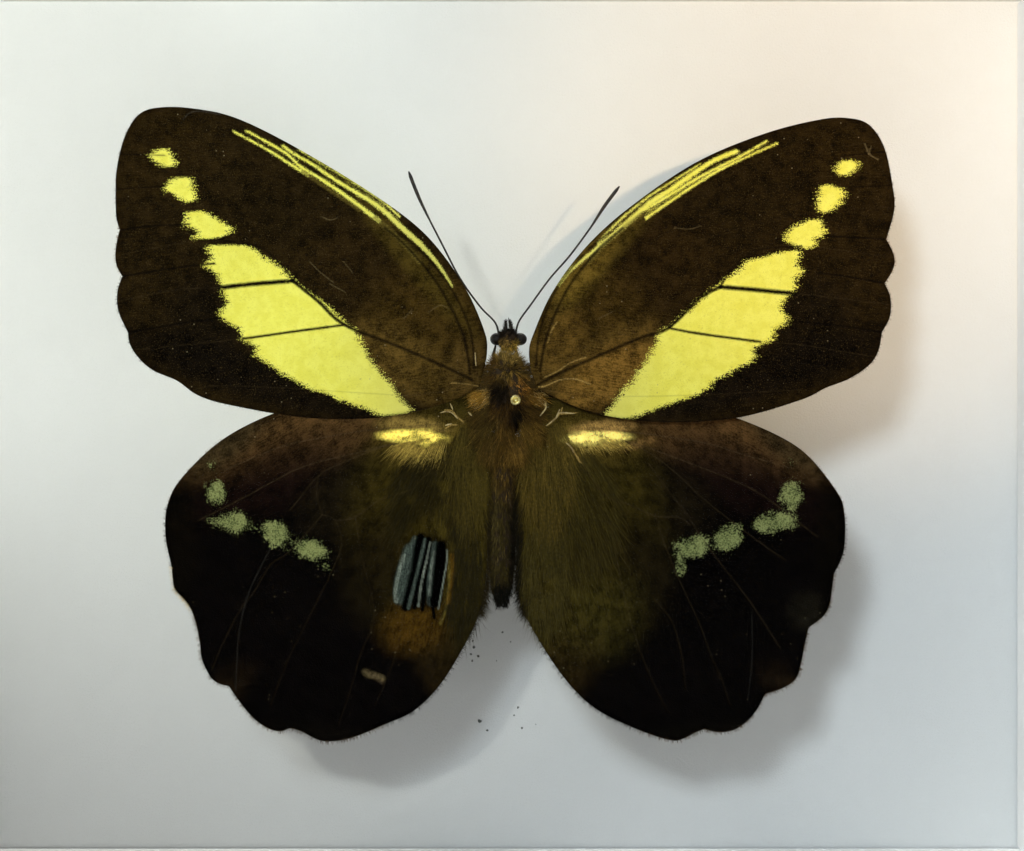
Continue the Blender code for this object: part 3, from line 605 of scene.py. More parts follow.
def wing_material():
    """Dusty scales: ground colours, feathered yellow, speckled spots, then veins over all."""
    s = Shader("wing_scales")
    place = s.place()
    flow = s.attribute("flow", "Vector")
    teeth = s.noise(s.stretch(flow, (0.7, 3.4, 1.0)), 1.0, 2.0, 0.7)
    grain = s.noise(place, 5.5, 1.0, 0.6)
    scales = s.noise(place, 9.0, 0.0)
    blotch = s.noise(place, 0.7, 3.0, 0.6)
    streak = s.noise(s.stretch(flow, (0.9, 5.0, 1.0)), 1.0, 1.0, 0.5)

    tone = s.math("ADD", s.math("MULTIPLY", grain, 1.3), s.math("MULTIPLY", streak, 1.0))
    tone = s.math("ADD", tone, s.math("MULTIPLY", blotch, 2.2))
    tone = s.step(tone, 1.5, 3.05, 0.25, 1.75)
    ground = s.mix(1.0, s.attribute("ground", "Color"), tone, "MULTIPLY")
    tan_scales = s.math("MULTIPLY", s.step(scales, 0.66, 0.78, 0.0, 0.22), s.attribute("dusting"))
    ground = s.mix(tan_scales, ground, rgba((120, 98, 60)))

    feather = s.attribute("feather")
    edge = s.math("ADD", s.attribute("yellow"),
                  s.math("MULTIPLY", s.math("SUBTRACT", teeth, 0.5), feather))
    ragged = s.math("ADD", s.math("MULTIPLY", feather, 1.1), 0.35)
    edge = s.math("ADD", edge, s.math("MULTIPLY", s.math("SUBTRACT", scales, 0.5), ragged))
    yellow_cover = s.step(edge, 0.13, -0.13)
    yellow = s.mix(s.step(blotch, 0.35, 0.65), rgba((244, 239, 108)), rgba((236, 229, 93)))
    yellow = s.mix(s.step(grain, 0.55, 0.8, 0.0, 0.4), yellow, rgba((188, 176, 76)))
    yellow = s.mix(s.math("MULTIPLY", s.attribute("pallor"), 0.8), yellow, rgba((206, 198, 106)))
    colour = s.mix(yellow_cover, ground, yellow)

    speck = s.noise(place, 5.0, 1.0, 0.7)
    spot_edge = s.math("ADD", s.math("MULTIPLY", s.attribute("spot"), 0.85),
                       s.math("MULTIPLY", s.math("SUBTRACT", speck, 0.5), -1.7))
    spot_edge = s.math("ADD", spot_edge, s.math("MULTIPLY", s.math("SUBTRACT", blotch, 0.5), -1.6))
    spot_cover = s.step(spot_edge, 0.1, -0.4, 0.0, 0.92)
    spot_colour = s.mix(s.step(grain, 0.3, 0.66), rgba((64, 72, 38)), rgba((146, 154, 96)))
    spot_colour = s.mix(s.step(blotch, 0.42, 0.66, 0.0, 0.45), spot_colour, rgba((172, 178, 112)))
    colour = s.mix(spot_cover, colour, spot_colour)

    line_tone = s.math("MULTIPLY", s.step(streak, 0.3, 0.7, 0.65, 1.3), s.step(grain, 0.3, 0.7, 0.6, 1.35))
    line = s.attribute("line", "Color")
    line_cover = s.attribute("line", "Alpha")
    under = s.mix(line_cover, colour, (0.0, 0.0, 0.0, 1.0))
    colour = s.mix(1.0, under, s.mix(1.0, line, line_tone, "MULTIPLY"), "ADD")

    # Rare light motes: partly scuffed scales, partly painted glints
    motes = s.node("TexVoronoi")
    s.feed(motes.inputs["Vector"], place)
    motes.inputs["Scale"].default_value = 1.1
    rare = s.math("GREATER_THAN", motes.outputs["Color"], 0.74)
    mote = s.math("MULTIPLY", s.step(motes.outputs["Distance"], 0.11, 0.06), rare)
    colour = s.mix(s.math("MULTIPLY", mote, 0.55), colour, rgba((156, 142, 110)))

    s.set(Base_Color=colour, Roughness=s.step(grain, 0.3, 0.7, 0.62, 0.85), Specular_IOR_Level=0.01)
    s.bump(grain, 0.00005)
    return s.material


def wing_points(outline, lines, patch):
    """Places for the wing's vertices: its edge, rows along each line, and an even field."""
    guides = []
    for _, half, _, _, route in lines:
        run = smooth_run(from_photo(route), LINE_STEP)
        ahead = np.gradient(run, axis=0)
        side = np.column_stack((-ahead[:, 1], ahead[:, 0]))
        side /= np.maximum(np.linalg.norm(side, axis=1, keepdims=True), 1e-9)
        width = max(half * PX, 0.12)
        if half < 10:
            for offset in (0.0, -width, width, -2 * width, 2 * width):
                guides.append(run + side * offset)
    low, high = outline.min(0), outline.max(0)
    rows = np.arange(low[1], high[1], WING_CELL * math.sqrt(3) / 2)
    field = []
    for index, y in enumerate(rows):
        x = np.arange(low[0] + (index % 2) * WING_CELL / 2, high[0], WING_CELL)
        field.append(np.column_stack((x, np.full(len(x), y))))
    field = np.vstack(field)
    field += rng.uniform(-0.08, 0.08, field.shape)
    if patch is not None:
        near = ellipse_reach(field, *patch) < 1.0
        fine = 0.14
        xs = np.arange(field[near][:, 0].min(), field[near][:, 0].max(), fine)
        ys = np.arange(field[near][:, 1].min(), field[near][:, 1].max(), fine)
        grid = np.array(np.meshgrid(xs, ys)).reshape(2, -1).T
        grid = grid[ellipse_reach(grid, *patch) < 1.0]
        guides = [g[ellipse_reach(g, *patch) >= 1.0] for g in guides] + [grid]
        field = field[~near]
    guides = thin_out(np.vstack(guides), 0.09)
    guides = guides[inside(guides, outline) & (line_distance(guides, close(outline)) > 0.15)]
    field = field[inside(field, outline) & (line_distance(field, close(outline)) > 0.3)]
    cells = {tuple(cell) for cell in np.round(guides / 0.3).astype(int)}
    free = [tuple(cell) not in cells for cell in np.round(field / 0.3).astype(int)]
    return np.vstack((outline, guides, field[free]))


def close(loop):
    return np.vstack((loop, loop[:1]))


def thin_out(points, cell):
    """One point for each small square cell."""
    _, keep = np.unique(np.round(points / cell).astype(int), axis=0, return_index=True)
    return points[np.sort(keep)]


def paint_patches(points, base, patches):
    colour = np.tile(linear(base), (len(points), 1))
    for cx, cy, rx, ry, tilt, soft, strength, tint in patches:
        reach = ellipse_reach(points, cx, cy, rx, ry, tilt)
        cover = strength * smoothstep(1 + soft, 1 - soft, reach)[:, None]
        colour = colour * (1 - cover) + linear(tint) * cover
    return colour


def paint_lines(points, lines, gain):
    """Line colours, already weighted by their cover, and the relief that the lines give."""
    colour = np.zeros((len(points), 3))
    cover = np.zeros(len(points))
    relief = np.zeros(len(points))
    nearest = np.full(len(points), 9.0)
    for ink, half, rise, opacity, route in lines:
        run = smooth_run(from_photo(route), LINE_STEP)
        gap = line_distance(points, run)
        width = max(half * PX, 0.07)
        hit = opacity * smoothstep(1.5 * width, 0.6 * width, gap)
        colour = colour * (1 - hit[:, None]) + linear(INKS[ink]) * gain * hit[:, None]
        cover = cover * (1 - hit) + hit
        relief = np.where(gap < 2 * width, relief + rise * smoothstep(1.8 * width, 0, gap), relief)
        if rise > 0:
            nearest = np.minimum(nearest, gap)
    return colour, cover, relief, nearest


def mirror_patches(patches):
    """The same patches on the other side of the body."""
    middle = 2 * 507
    return [(middle - cx, cy, rx, ry, -tilt, *rest) for cx, cy, rx, ry, tilt, *rest in patches]


def build_wing(name, runs, root, lines, base, patches, gain, yellow=(), streaks=(), spots=(), extra=(),
               patch=None):
    """A fine sheet in place of the frame's plain wing."""
    outline = wing_outline(runs)
    rows = [("umber", width, 0, 0, route) for _, width, route in streaks]
    spread = wing_points(outline, [*lines, *rows, *extra], patch)
    count = len(outline)
    edges = [(i, (i + 1) % count) for i in range(count)]
    found = delaunay_2d_cdt([Vector(p) for p in spread], edges, [], 1, 1e-5)
    flat = np.array([tuple(v) for v in found[0]])
    triangles = [tuple(face) for face in found[2]]

    colour = paint_patches(flat, base, patches) * gain
    ink, cover, relief, nearest = paint_lines(flat, lines, gain)
    if extra:
        bare = paint_lines(flat, extra, 1.0)
        ink = ink * (1 - bare[1][:, None]) + bare[0]
        cover = cover * (1 - bare[1]) + bare[1]
        relief = relief + bare[2]
    rim = line_distance(flat, close(outline))
    sag = 0.12 * (np.exp(-(nearest / 1.4) ** 2) - 0.5) * smoothstep(0.2, 2.0, nearest)
    height = wing_height(root, flat[:, 0], flat[:, 1]) + relief + sag
    height += 0.05 * ripple(flat, 7, 9.0, 2.5, 11) * smoothstep(0.0, 2.0, rim)
    height += 0.012 * ripple(flat, 6, 1.6, 0.7, 12)

    side = -1 if flat[:, 0].mean() < 0 else 1
    fore = root == FOREWING_ROOT
    centre = np.array((side * 200.0, 35.0)) if fore else np.array((side * 5.5, 13.0))
    if fore:
        centre = np.array((-side * 175.0, 35.0))
    away = flat - centre
    reach = np.linalg.norm(away, axis=1)
    angle = np.arctan2(away[:, 1], side * away[:, 0])
    scale = 215.0 if fore else 30.0
    flow = np.column_stack((reach, angle * scale, np.zeros(len(flat))))

    far = np.full(len(flat), 5.0)
    feather = np.full(len(flat), 0.2)
    if yellow:
        shapes = [smooth_run(from_photo(shape), 0.4, closed=True) for shape in yellow]
        far = np.min([signed_distance(flat, shape) for shape in shapes], axis=0)
        step = 0.25 * away / reach[:, None]
        ahead = np.min([signed_distance(flat + step, shape) for shape in shapes], axis=0)
        feather = 0.15 + 1.5 * np.abs(ahead - far) / 0.25
        for name_of_ink, half, _, opacity, route in lines:
            if name_of_ink in ("fold", "umber") and opacity > 0.75:
                gap = line_distance(flat, smooth_run(from_photo(route), LINE_STEP))
                crossing = half * PX * 0.9 - gap
                feather = np.where((crossing > far) & (gap < 0.8), 0.1, feather)
                far = np.maximum(far, crossing)
        for start, end, route in streaks:
            run = smooth_run(from_photo(route), LINE_STEP)
            nearest_point = np.linalg.norm(flat[:, None] - run, axis=2).argmin(1)
            half = np.interp(nearest_point, (0, len(run) - 1), (start, end)) * PX
            gap = line_distance(flat, run) - half
            feather = np.where(gap < far, 0.12, feather)
            far = np.minimum(far, gap)
    spot = np.full(len(flat), 5.0)
    for cx, cy, rx, ry, tilt, density in spots:
        gap = (ellipse_reach(flat, cx, cy, rx, ry, tilt) - 1) * min(rx, ry) * PX
        spot = np.minimum(spot, gap + (1 - density) * 0.9)

    pallor = smoothstep(22.0, 10.0, np.abs(flat[:, 0])) * 0.8
    dusting = 1.0 if fore else 0.35
    values = {
        "ground": np.column_stack((colour, np.ones(len(flat)))),
        "line": np.column_stack((ink, cover)),
        "yellow": far, "feather": feather, "spot": spot, "flow": flow, "pallor": pallor,
        "dusting": np.full(len(flat), dusting) * smoothstep(0.0, 1.2, rim),
    }
    verts = np.column_stack((flat, height))
    wing = add_mesh(name + "_sheet", verts, triangles, WING, "wing_scales", values)
    membrane = wing.modifiers.new("membrane", "SOLIDIFY")
    membrane.thickness = MEMBRANE * MM
    membrane.offset = 0.0
    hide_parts(name)
    return outline


def add_camera():
    data = bpy.data.cameras.new("photo_view")
    data.sensor_width = SENSOR
    data.lens = SENSOR * CAMERA_DISTANCE / (IMAGE_WIDTH * PX)
    data.clip_start = 0.01
    camera = bpy.data.objects.new("photo_view", data)
    offset = from_photo([CAMERA_PX])[0]
    camera.location = to_world([(*offset, WING_LEVEL + CAMERA_DISTANCE)])[0]
    camera.rotation_euler = (math.radians(90), 0, 0)
    scene.collection.objects.link(camera)
    scene.camera = camera


def tube_mesh(route, radii, sides=8):
    """A closed round tube along places in the lying space, with one radius for each place."""
    route = np.asarray(route, float)
    ahead = np.gradient(route, axis=0)
    ahead /= np.linalg.norm(ahead, axis=1, keepdims=True)
    up = np.array((0.0, 0.0, 1.0))
    side = np.cross(ahead, up)
    side /= np.maximum(np.linalg.norm(side, axis=1, keepdims=True), 1e-6)
    over = np.cross(side, ahead)
    turns = np.arange(sides) * 2 * math.pi / sides
    ring = (np.cos(turns)[:, None, None] * side + np.sin(turns)[:, None, None] * over)
    verts = (route + ring * np.asarray(radii, float)[:, None]).transpose(1, 0, 2).reshape(-1, 3)
    faces = []
    for row in range(len(route) - 1):
        for k in range(sides):
            a, b = row * sides + k, row * sides + (k + 1) % sides
            faces.append((a, b, b + sides, a + sides))
    last = (len(route) - 1) * sides
    faces.append(tuple(range(sides - 1, -1, -1)))
    faces.append(tuple(range(last, last + sides)))
    return verts, faces


def ball_mesh(centre, half, rows=24, columns=40):
    """A closed round body."""
    verts = [(0.0, 0.0, 1.0)]
    for row in range(1, rows):
        tilt = math.pi * row / rows
        for column in range(columns):
            turn = 2 * math.pi * column / columns
            verts.append((math.sin(tilt) * math.cos(turn), math.sin(tilt) * math.sin(turn),
                          math.cos(tilt)))
    verts.append((0.0, 0.0, -1.0))
    faces = [(0, 1 + k, 1 + (k + 1) % columns) for k in range(columns)]
    for row in range(rows - 2):
        for k in range(columns):
            a, b = 1 + row * columns + k, 1 + row * columns + (k + 1) % columns
            faces.append((a, a + columns, b + columns, b))
    first = 1 + (rows - 2) * columns
    faces += [(len(verts) - 1, first + (k + 1) % columns, first + k) for k in range(columns)]
    return np.array(verts) * half + centre, faces


def joined(shapes):
    """Several closed shapes as one list of vertices and faces."""
    verts, faces, start = [], [], 0
    for shape_verts, shape_faces in shapes:
        verts.append(np.asarray(shape_verts))
        faces += [tuple(index + start for index in face) for face in shape_faces]
        start += len(shape_verts)
    return np.vstack(verts), faces


def unit(vectors):
    return vectors / np.maximum(np.linalg.norm(vectors, axis=-1, keepdims=True), 1e-9)


HAIR_STATIONS = np.array((0.0, 0.35, 0.7))
HAIR_TAPER = np.array((1.0, 0.85, 0.55))
HAIR_SIDES = 3
HAIR_FACES = [(2, 1, 0)]
for ring_start in (0, 3):
    for ring_side in range(3):
        ring_next = (ring_side + 1) % 3
        HAIR_FACES.append((ring_start + ring_side, ring_start + ring_next,
                           ring_start + ring_next + 3, ring_start + ring_side + 3))
HAIR_FACES += [(6, 7, 9), (7, 8, 9), (8, 6, 9)]


def add_hairs(name, roots, directions, lengths, radii, bends, hues, slot="body_fur"):
    """Closed tapered hairs as one piece: each runs its own way and then bends over."""
    count = len(roots)
    lengths = np.broadcast_to(lengths, (count,))[:, None]
    radii = np.broadcast_to(radii, (count,))
    directions = unit(directions)
    helper = np.where(np.abs(directions[:, 2:3]) > 0.9, (1.0, 0.0, 0.0), (0.0, 0.0, 1.0))
    side = unit(np.cross(directions, helper))
    over = np.cross(directions, side)
    rings = []
    for station, taper in zip(HAIR_STATIONS, HAIR_TAPER):
        middle = roots + directions * lengths * station + bends * lengths * station ** 2
        for turn in (0.0, 2 * math.pi / 3, 4 * math.pi / 3):
            spread = side * math.cos(turn) + over * math.sin(turn)
            rings.append(middle + spread * (radii * taper)[:, None])
    rings.append(roots + directions * lengths + bends * lengths)
    verts = np.stack(rings, axis=1).reshape(-1, 3)
    faces = [tuple(index + 10 * hair for index in face) for hair in range(count) for face in HAIR_FACES]
    along = np.tile(np.repeat((0.0, 0.35, 0.7, 1.0), (3, 3, 3, 1)), count)
    colour = np.column_stack((np.repeat(hues, 10, axis=0), np.ones(count * 10)))
    return add_mesh(name, verts, faces, FUR, slot, {"hue": colour, "along": along})


def fur_material():
    """Dry hairs, each with its own colour: darker at the root as painted shade deep in the fur, and lighter
    at the tip as a painted highlight.
    """
    s = Shader("body_hair")
    along = s.attribute("along")
    fine = s.noise(s.place(), 3.0, 1.0)
    shade = s.math("MULTIPLY", s.step(along, -0.1, 0.8, 0.55, 1.25), s.step(fine, 0.3, 0.7, 0.8, 1.2))
    s.set(Base_Color=s.mix(1.0, s.attribute("hue", "Color"), shade, "MULTIPLY"), Roughness=0.6,
          Specular_IOR_Level=0.12)
    return s.material


def skin_material():
    """Dark brown body under the hairs."""
    s = Shader("body_skin")
    place = s.place()
    mottle = s.noise(place, 1.8, 4.0, 0.6)
    grain = s.noise(place, 9.0, 2.0, 0.6)
    colour = s.mix(mottle, rgba((12, 8, 4)), rgba((62, 44, 20)))
    s.set(Base_Color=s.mix(s.step(grain, 0.5, 0.8, 0.0, 0.4), colour, rgba((90, 66, 32))),
          Roughness=0.7, Specular_IOR_Level=0.25)
    s.bump(s.math("ADD", mottle, grain), 0.00012)
    return s.material


def horn_material(name, dark, light, gloss):
    """Dry insect horn, mottled, with worn light places."""
    s = Shader(name)
    place = s.place()
    mottle = s.noise(place, 1.4, 3.0, 0.6)
    grain = s.noise(place, 11.0, 2.0, 0.6)
    s.set(Base_Color=s.mix(s.step(mottle, 0.35, 0.75), rgba(dark), rgba(light)),
          Roughness=s.step(grain, 0.3, 0.7, gloss, gloss + 0.25), Specular_IOR_Level=0.4)
    s.bump(grain, 0.00003)
    return s.material


def eye_material():
    """Dark eye with its many small facets."""
    s = Shader("eye")
    facets = s.node("TexVoronoi")
    s.feed(facets.inputs["Vector"], s.place())
    facets.inputs["Scale"].default_value = 14.0
    s.set(Base_Color=s.mix(facets.outputs["Distance"], rgba((30, 22, 15)), rgba((8, 6, 5))),
          Roughness=0.3, Specular_IOR_Level=0.22)
    s.bump(facets.outputs["Distance"], 0.00003)
    return s.material


def brass_material():
    s = Shader("pin_brass")
    place = s.place()
    tarnish = s.noise(place, 1.6, 4.0, 0.6)
    scratch = s.noise(s.stretch(place, (9.0, 1.2, 9.0)), 1.0, 2.0, 0.6)
    from_axis = s.node("VectorMath", operation="DISTANCE")
    s.feed(from_axis.inputs[0], s.stretch(place, (1.0, 0.0, 1.0)))
    from_axis.inputs[1].default_value = (PIN_AT[0], 0.0, MIDDLE_HEIGHT + PIN_AT[1])
    colour = s.mix(s.step(tarnish, 0.4, 0.8), (0.90, 0.78, 0.34, 1), (0.56, 0.43, 0.16, 1))
    # Darker olive round the pin's axis: painted shade in the dimple of the head
    colour = s.mix(s.step(from_axis.outputs["Value"], 0.34, 0.22, 0.0, 0.8), colour, (0.20, 0.15, 0.04, 1))
    s.set(Base_Color=colour,
          Metallic=1.0, Roughness=s.step(scratch, 0.3, 0.7, 0.22, 0.42))
    s.bump(scratch, 0.00001)
    return s.material


def wood_material(name, along):
    """Walnut with its grain along one of the frame's axes: 0 for x, 2 for z."""
    s = Shader(name)
    lengthwise = [1000.0, 1000.0, 1000.0]
    lengthwise[along] = 60.0
    place = s.place(tuple(lengthwise))
    bend = s.noise(s.stretch(place, (0.06, 0.06, 0.06)), 1.0, 3.0, 0.6)
    rings = s.math("FRACT", s.math("ADD", s.math("MULTIPLY", bend, 9.0),
                                   s.math("MULTIPLY", s.noise(place, 0.30, 2.0, 0.5), 0.6)))
    rings = s.step(rings, 0.0, 0.9)
    fibre = s.noise(place, 2.2, 3.0, 0.65)
    pores = s.step(s.noise(place, 3.6, 1.0, 0.5), 0.33, 0.24)
    shade = s.noise(s.place(), 0.035, 2.0, 0.5)
    colour = s.mix(rings, rgba((122, 84, 54)), rgba((82, 52, 32)))
    colour = s.mix(s.step(fibre, 0.3, 0.75, 0.0, 0.7), colour, rgba((104, 70, 44)))
    colour = s.mix(s.step(shade, 0.35, 0.7, 0.0, 0.35), colour, rgba((66, 41, 26)))
    colour = s.mix(s.math("MULTIPLY", pores, 0.75), colour, rgba((36, 22, 14)))
    s.set(Base_Color=colour, Roughness=s.step(fibre, 0.3, 0.7, 0.36, 0.52), Specular_IOR_Level=0.45,
          Coat_Weight=0.12, Coat_Roughness=0.3)
    s.bump(s.math("SUBTRACT", s.math("MULTIPLY", fibre, 0.5), pores), 0.00008)
    return s.material


def paper_material(name, light, dark, fleck_share):
    """White paper or card with a faint tooth, soft stains and a few specks."""
    s = Shader(name)
    place = s.place()
    cloud = s.noise(place, 0.03, 1.0, 0.6)
    tooth = s.noise(place, 4.0, 1.0, 0.65)
    motes = s.node("TexVoronoi")
    s.feed(motes.inputs["Vector"], place)
    motes.inputs["Scale"].default_value = 0.42
    rare = s.math("LESS_THAN", motes.outputs["Color"], fleck_share)
    mote = s.math("MULTIPLY", s.step(motes.outputs["Distance"], 0.085, 0.05), rare)
    colour = s.mix(s.step(cloud, 0.3, 0.7), light, dark)
    colour = s.mix(s.step(tooth, 0.35, 0.7, 0.0, 0.12), colour, (0.62, 0.61, 0.58, 1))
    colour = s.mix(s.math("MULTIPLY", mote, 0.75), colour, (0.16, 0.14, 0.11, 1))
    s.set(Base_Color=colour, Roughness=0.82, Specular_IOR_Level=0.3)
    s.bump(tooth, 0.00006)
    return s.material


def hardboard_material():
    """Pressed fibre board: matted short fibres with dark knots."""
    s = Shader("pressed_fibre")
    place = s.place()
    mat = s.noise(s.stretch(place, (1.0, 1.0, 2.6)), 1.1, 5.0, 0.7)
    cross = s.noise(s.stretch(place, (2.8, 1.0, 1.0)), 1.3, 4.0, 0.7)
    cloud = s.noise(place, 0.05, 3.0, 0.6)
    colour = s.mix(s.step(mat, 0.3, 0.7), rgba((92, 62, 40)), rgba((150, 112, 78)))
    colour = s.mix(s.step(cross, 0.45, 0.75, 0.0, 0.6), colour, rgba((74, 48, 30)))
    colour = s.mix(s.step(cloud, 0.3, 0.7, 0.0, 0.35), colour, rgba((120, 90, 62)))
    s.set(Base_Color=colour, Roughness=0.72, Specular_IOR_Level=0.35)
    s.bump(s.math("ADD", mat, cross), 0.00015)
    return s.material


def zinc_material():
    """Dull plated steel with spangle and light rubs."""
    s = Shader("zinc_plate")
    place = s.place()
    spangle = s.node("TexVoronoi")
    s.feed(spangle.inputs["Vector"], place)
    spangle.inputs["Scale"].default_value = 0.8
    rub = s.noise(s.stretch(place, (0.3, 1.0, 5.0)), 1.0, 3.0, 0.6)
    tint = s.mix(spangle.outputs["Color"], (0.56, 0.57, 0.59, 1), (0.68, 0.69, 0.70, 1))
    s.set(Base_Color=s.mix(s.step(rub, 0.5, 0.8, 0.0, 0.5), tint, (0.42, 0.42, 0.42, 1)), Metallic=1.0,
          Roughness=s.step(rub, 0.3, 0.7, 0.34, 0.55))
    s.bump(rub, 0.00002)
    return s.material


def glass_material():
    """Clear glass that barely reflects, with a trace of dust."""
    s = Shader("clear_glass")
    dust = s.noise(s.place(), 0.25, 1.0, 0.7)
    s.set(Base_Color=s.mix(s.step(dust, 0.4, 0.8, 0.0, 0.5), (0.985, 0.995, 0.99, 1),
                           (0.96, 0.97, 0.965, 1)),
          Roughness=0.0, IOR=GLASS_IOR, Transmission_Weight=1.0)
    return s.material


def dress_frame():
    """Finishes for the frame's own parts, which keep their shape."""
    across, upright = wood_material("walnut_across", 0), wood_material("walnut_upright", 2)
    card = paper_material("white_card", (0.83, 0.83, 0.815, 1), (0.80, 0.80, 0.785, 1), 0.04)
    board = paper_material("white_board", (0.815, 0.82, 0.815, 1), (0.785, 0.79, 0.785, 1), 0.05)
    fibre, zinc, glass = hardboard_material(), zinc_material(), glass_material()
    horn = horn_material("leg_horn", (10, 8, 7), (46, 34, 24), 0.35)
    finishes = {"rail_top": across, "rail_bottom": across, "rail_left": upright, "rail_right": upright,
                "liner": card, "pinning_board": board, "back_panel": fibre, "back_tab": zinc,
                "hanger": zinc, "glass_pane": glass, "leg": horn}
    for name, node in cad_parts.items():
        for start, material in finishes.items():
            if name.startswith(start):
                node.data.materials.clear()
                node.data.materials.append(material)
    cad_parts["glass_pane"].visible_diffuse = False


def add_wing_fringe(name, outline, parts, root, hue, length):
    """Short ragged scales along the named parts of a wing's edge."""
    roots, ways, hues, sizes = [], [], [], []
    centre = outline.mean(0)
    for start, end, density, tint, stretch in parts:
        low, high = from_photo([start, end])
        first = int(np.argmin(np.linalg.norm(outline - low, axis=1)))
        last = int(np.argmin(np.linalg.norm(outline - high, axis=1)))
        run = outline[first:last + 1] if last > first else outline[last:first + 1]
        step = np.linalg.norm(np.diff(run, axis=0), axis=1)
        count = int(step.sum() * density)
        at = np.sort(rng.uniform(0, step.sum(), count))
        reach = np.concatenate(((0.0,), np.cumsum(step)))
        place = np.column_stack([np.interp(at, reach, run[:, axis]) for axis in (0, 1)])
        ahead = np.gradient(place, axis=0)
        out = unit(np.column_stack((-ahead[:, 1], ahead[:, 0])))
        probe = inside(place + out * 0.4, outline)
        out[probe] *= -1
        out = unit(out + 0.25 * unit(place - centre) + rng.normal(0, 0.22, place.shape))
        roots.append(place - out * 0.12)
        ways.append(out)
        sizes.append(rng.uniform(0.5, 1.1, count) * length * stretch)
        tones = linear(hue if tint is None else tint) * rng.uniform(0.5, 1.6, (count, 1))
        hues.append(tones)
    roots, ways = np.vstack(roots), np.vstack(ways)
    height = wing_height(root, roots[:, 0], roots[:, 1]) + rng.uniform(-0.04, 0.04, len(roots))
    roots = np.column_stack((roots, height))
    ways = np.column_stack((ways, rng.normal(0, 0.08, len(ways))))
    bends = rng.normal(0, 0.06, roots.shape)
    add_hairs(name, roots, ways, np.concatenate(sizes), rng.uniform(0.018, 0.034, len(roots)), bends,
              np.vstack(hues), "wing_scales")


def add_wing_hairs(name, root, patches, fan, count, length, lift, bare=None):
    """Long soft hairs that lie on the inner half of a hindwing and fan out from its base."""
    roots, hues, lengths = [], [], []
    for cx, cy, rx, ry, tilt, share, size, dark, light in patches:
        number = int(count * share)
        reach = np.sqrt(rng.uniform(0, 1, number))
        turn = rng.uniform(0, 2 * math.pi, number)
        local = np.column_stack((rx * PX * reach * np.cos(turn), ry * PX * reach * np.sin(turn)))
        lean = math.radians(tilt)
        spin = np.array(((math.cos(lean), -math.sin(lean)), (math.sin(lean), math.cos(lean))))
        roots.append(from_photo([(cx, cy)])[0] + local @ spin.T)
        mix = rng.beta(1.2, 2.6, (number, 1))
        hues.append(linear(dark) * (1 - mix) + linear(light) * mix)
        lengths.append(np.full(number, size) * rng.uniform(0.6, 1.2, number))
    roots, hues, lengths = np.vstack(roots), np.vstack(hues), np.concatenate(lengths)
    way = unit(roots - from_photo([fan])[0] + 1e-6)
    way = unit(way + rng.normal(0, 0.13, way.shape))
    tips = roots + way * (lengths * length)[:, None]
    if bare is not None:
        clear = np.minimum(ellipse_reach(tips, *bare), ellipse_reach((roots + tips) / 2, *bare)) > 1.0
        clear &= ellipse_reach(roots, *bare) > 1.0
        roots, way, tips, hues, lengths = (part[clear] for part in (roots, way, tips, hues, lengths))
    height = wing_height(root, roots[:, 0], roots[:, 1]) + 0.08
    rise = (wing_height(root, tips[:, 0], tips[:, 1]) + 0.08 - height) / (lengths * length)
    roots = np.column_stack((roots, height))
    climb = rng.uniform(0.6, 1.4, len(roots)) * lift
    ways = np.column_stack((way, climb + rise))
    sway = rng.normal(0, 0.10, (len(roots), 2))
    bends = np.column_stack((sway, -climb * 0.75))
    add_hairs(name, roots, ways, lengths * length, rng.uniform(0.012, 0.024, len(roots)), bends, hues,
              "wing_scales")


def add_margin_hairs(name, route, inward, tint, count):
    """Hairs along a hindwing's inner edge, hanging down and in against the abdomen."""
    run = smooth_run(from_photo(route), 0.1)
    flat = run[rng.integers(0, len(run), count)] + rng.normal(0, 0.12, (count, 2))
    flat[:, 0] -= inward * rng.uniform(0.0, 0.6, count)
    ways = np.column_stack((inward * rng.uniform(0.1, 0.9, count), rng.uniform(-1.3, -0.5, count),
                            rng.uniform(-0.7, 0.1, count)))
    roots = np.column_stack((flat, wing_height(HINDWING_ROOT, *flat.T) + rng.uniform(-0.15, 0.08, count)))
    hues = linear(tint) * np.exp(rng.normal(0, 0.5, (count, 1)))
    add_hairs(name, roots, ways, rng.uniform(0.8, 2.0, count), rng.uniform(0.016, 0.03, count),
              rng.normal(0, 0.12, roots.shape), hues, "wing_scales")


def on_ball(count, lowest):
    """Random directions on a ball, none pointing further down than the lowest."""
    way = unit(rng.normal(0, 1, (count * 3, 3)))
    way = way[way[:, 2] > lowest]
    return way[:count]


def fur_hues(flat, base, patches, spread=0.55):
    colour = paint_patches(flat, base, patches)
    return colour * np.exp(rng.normal(0, spread, (len(flat), 1)))


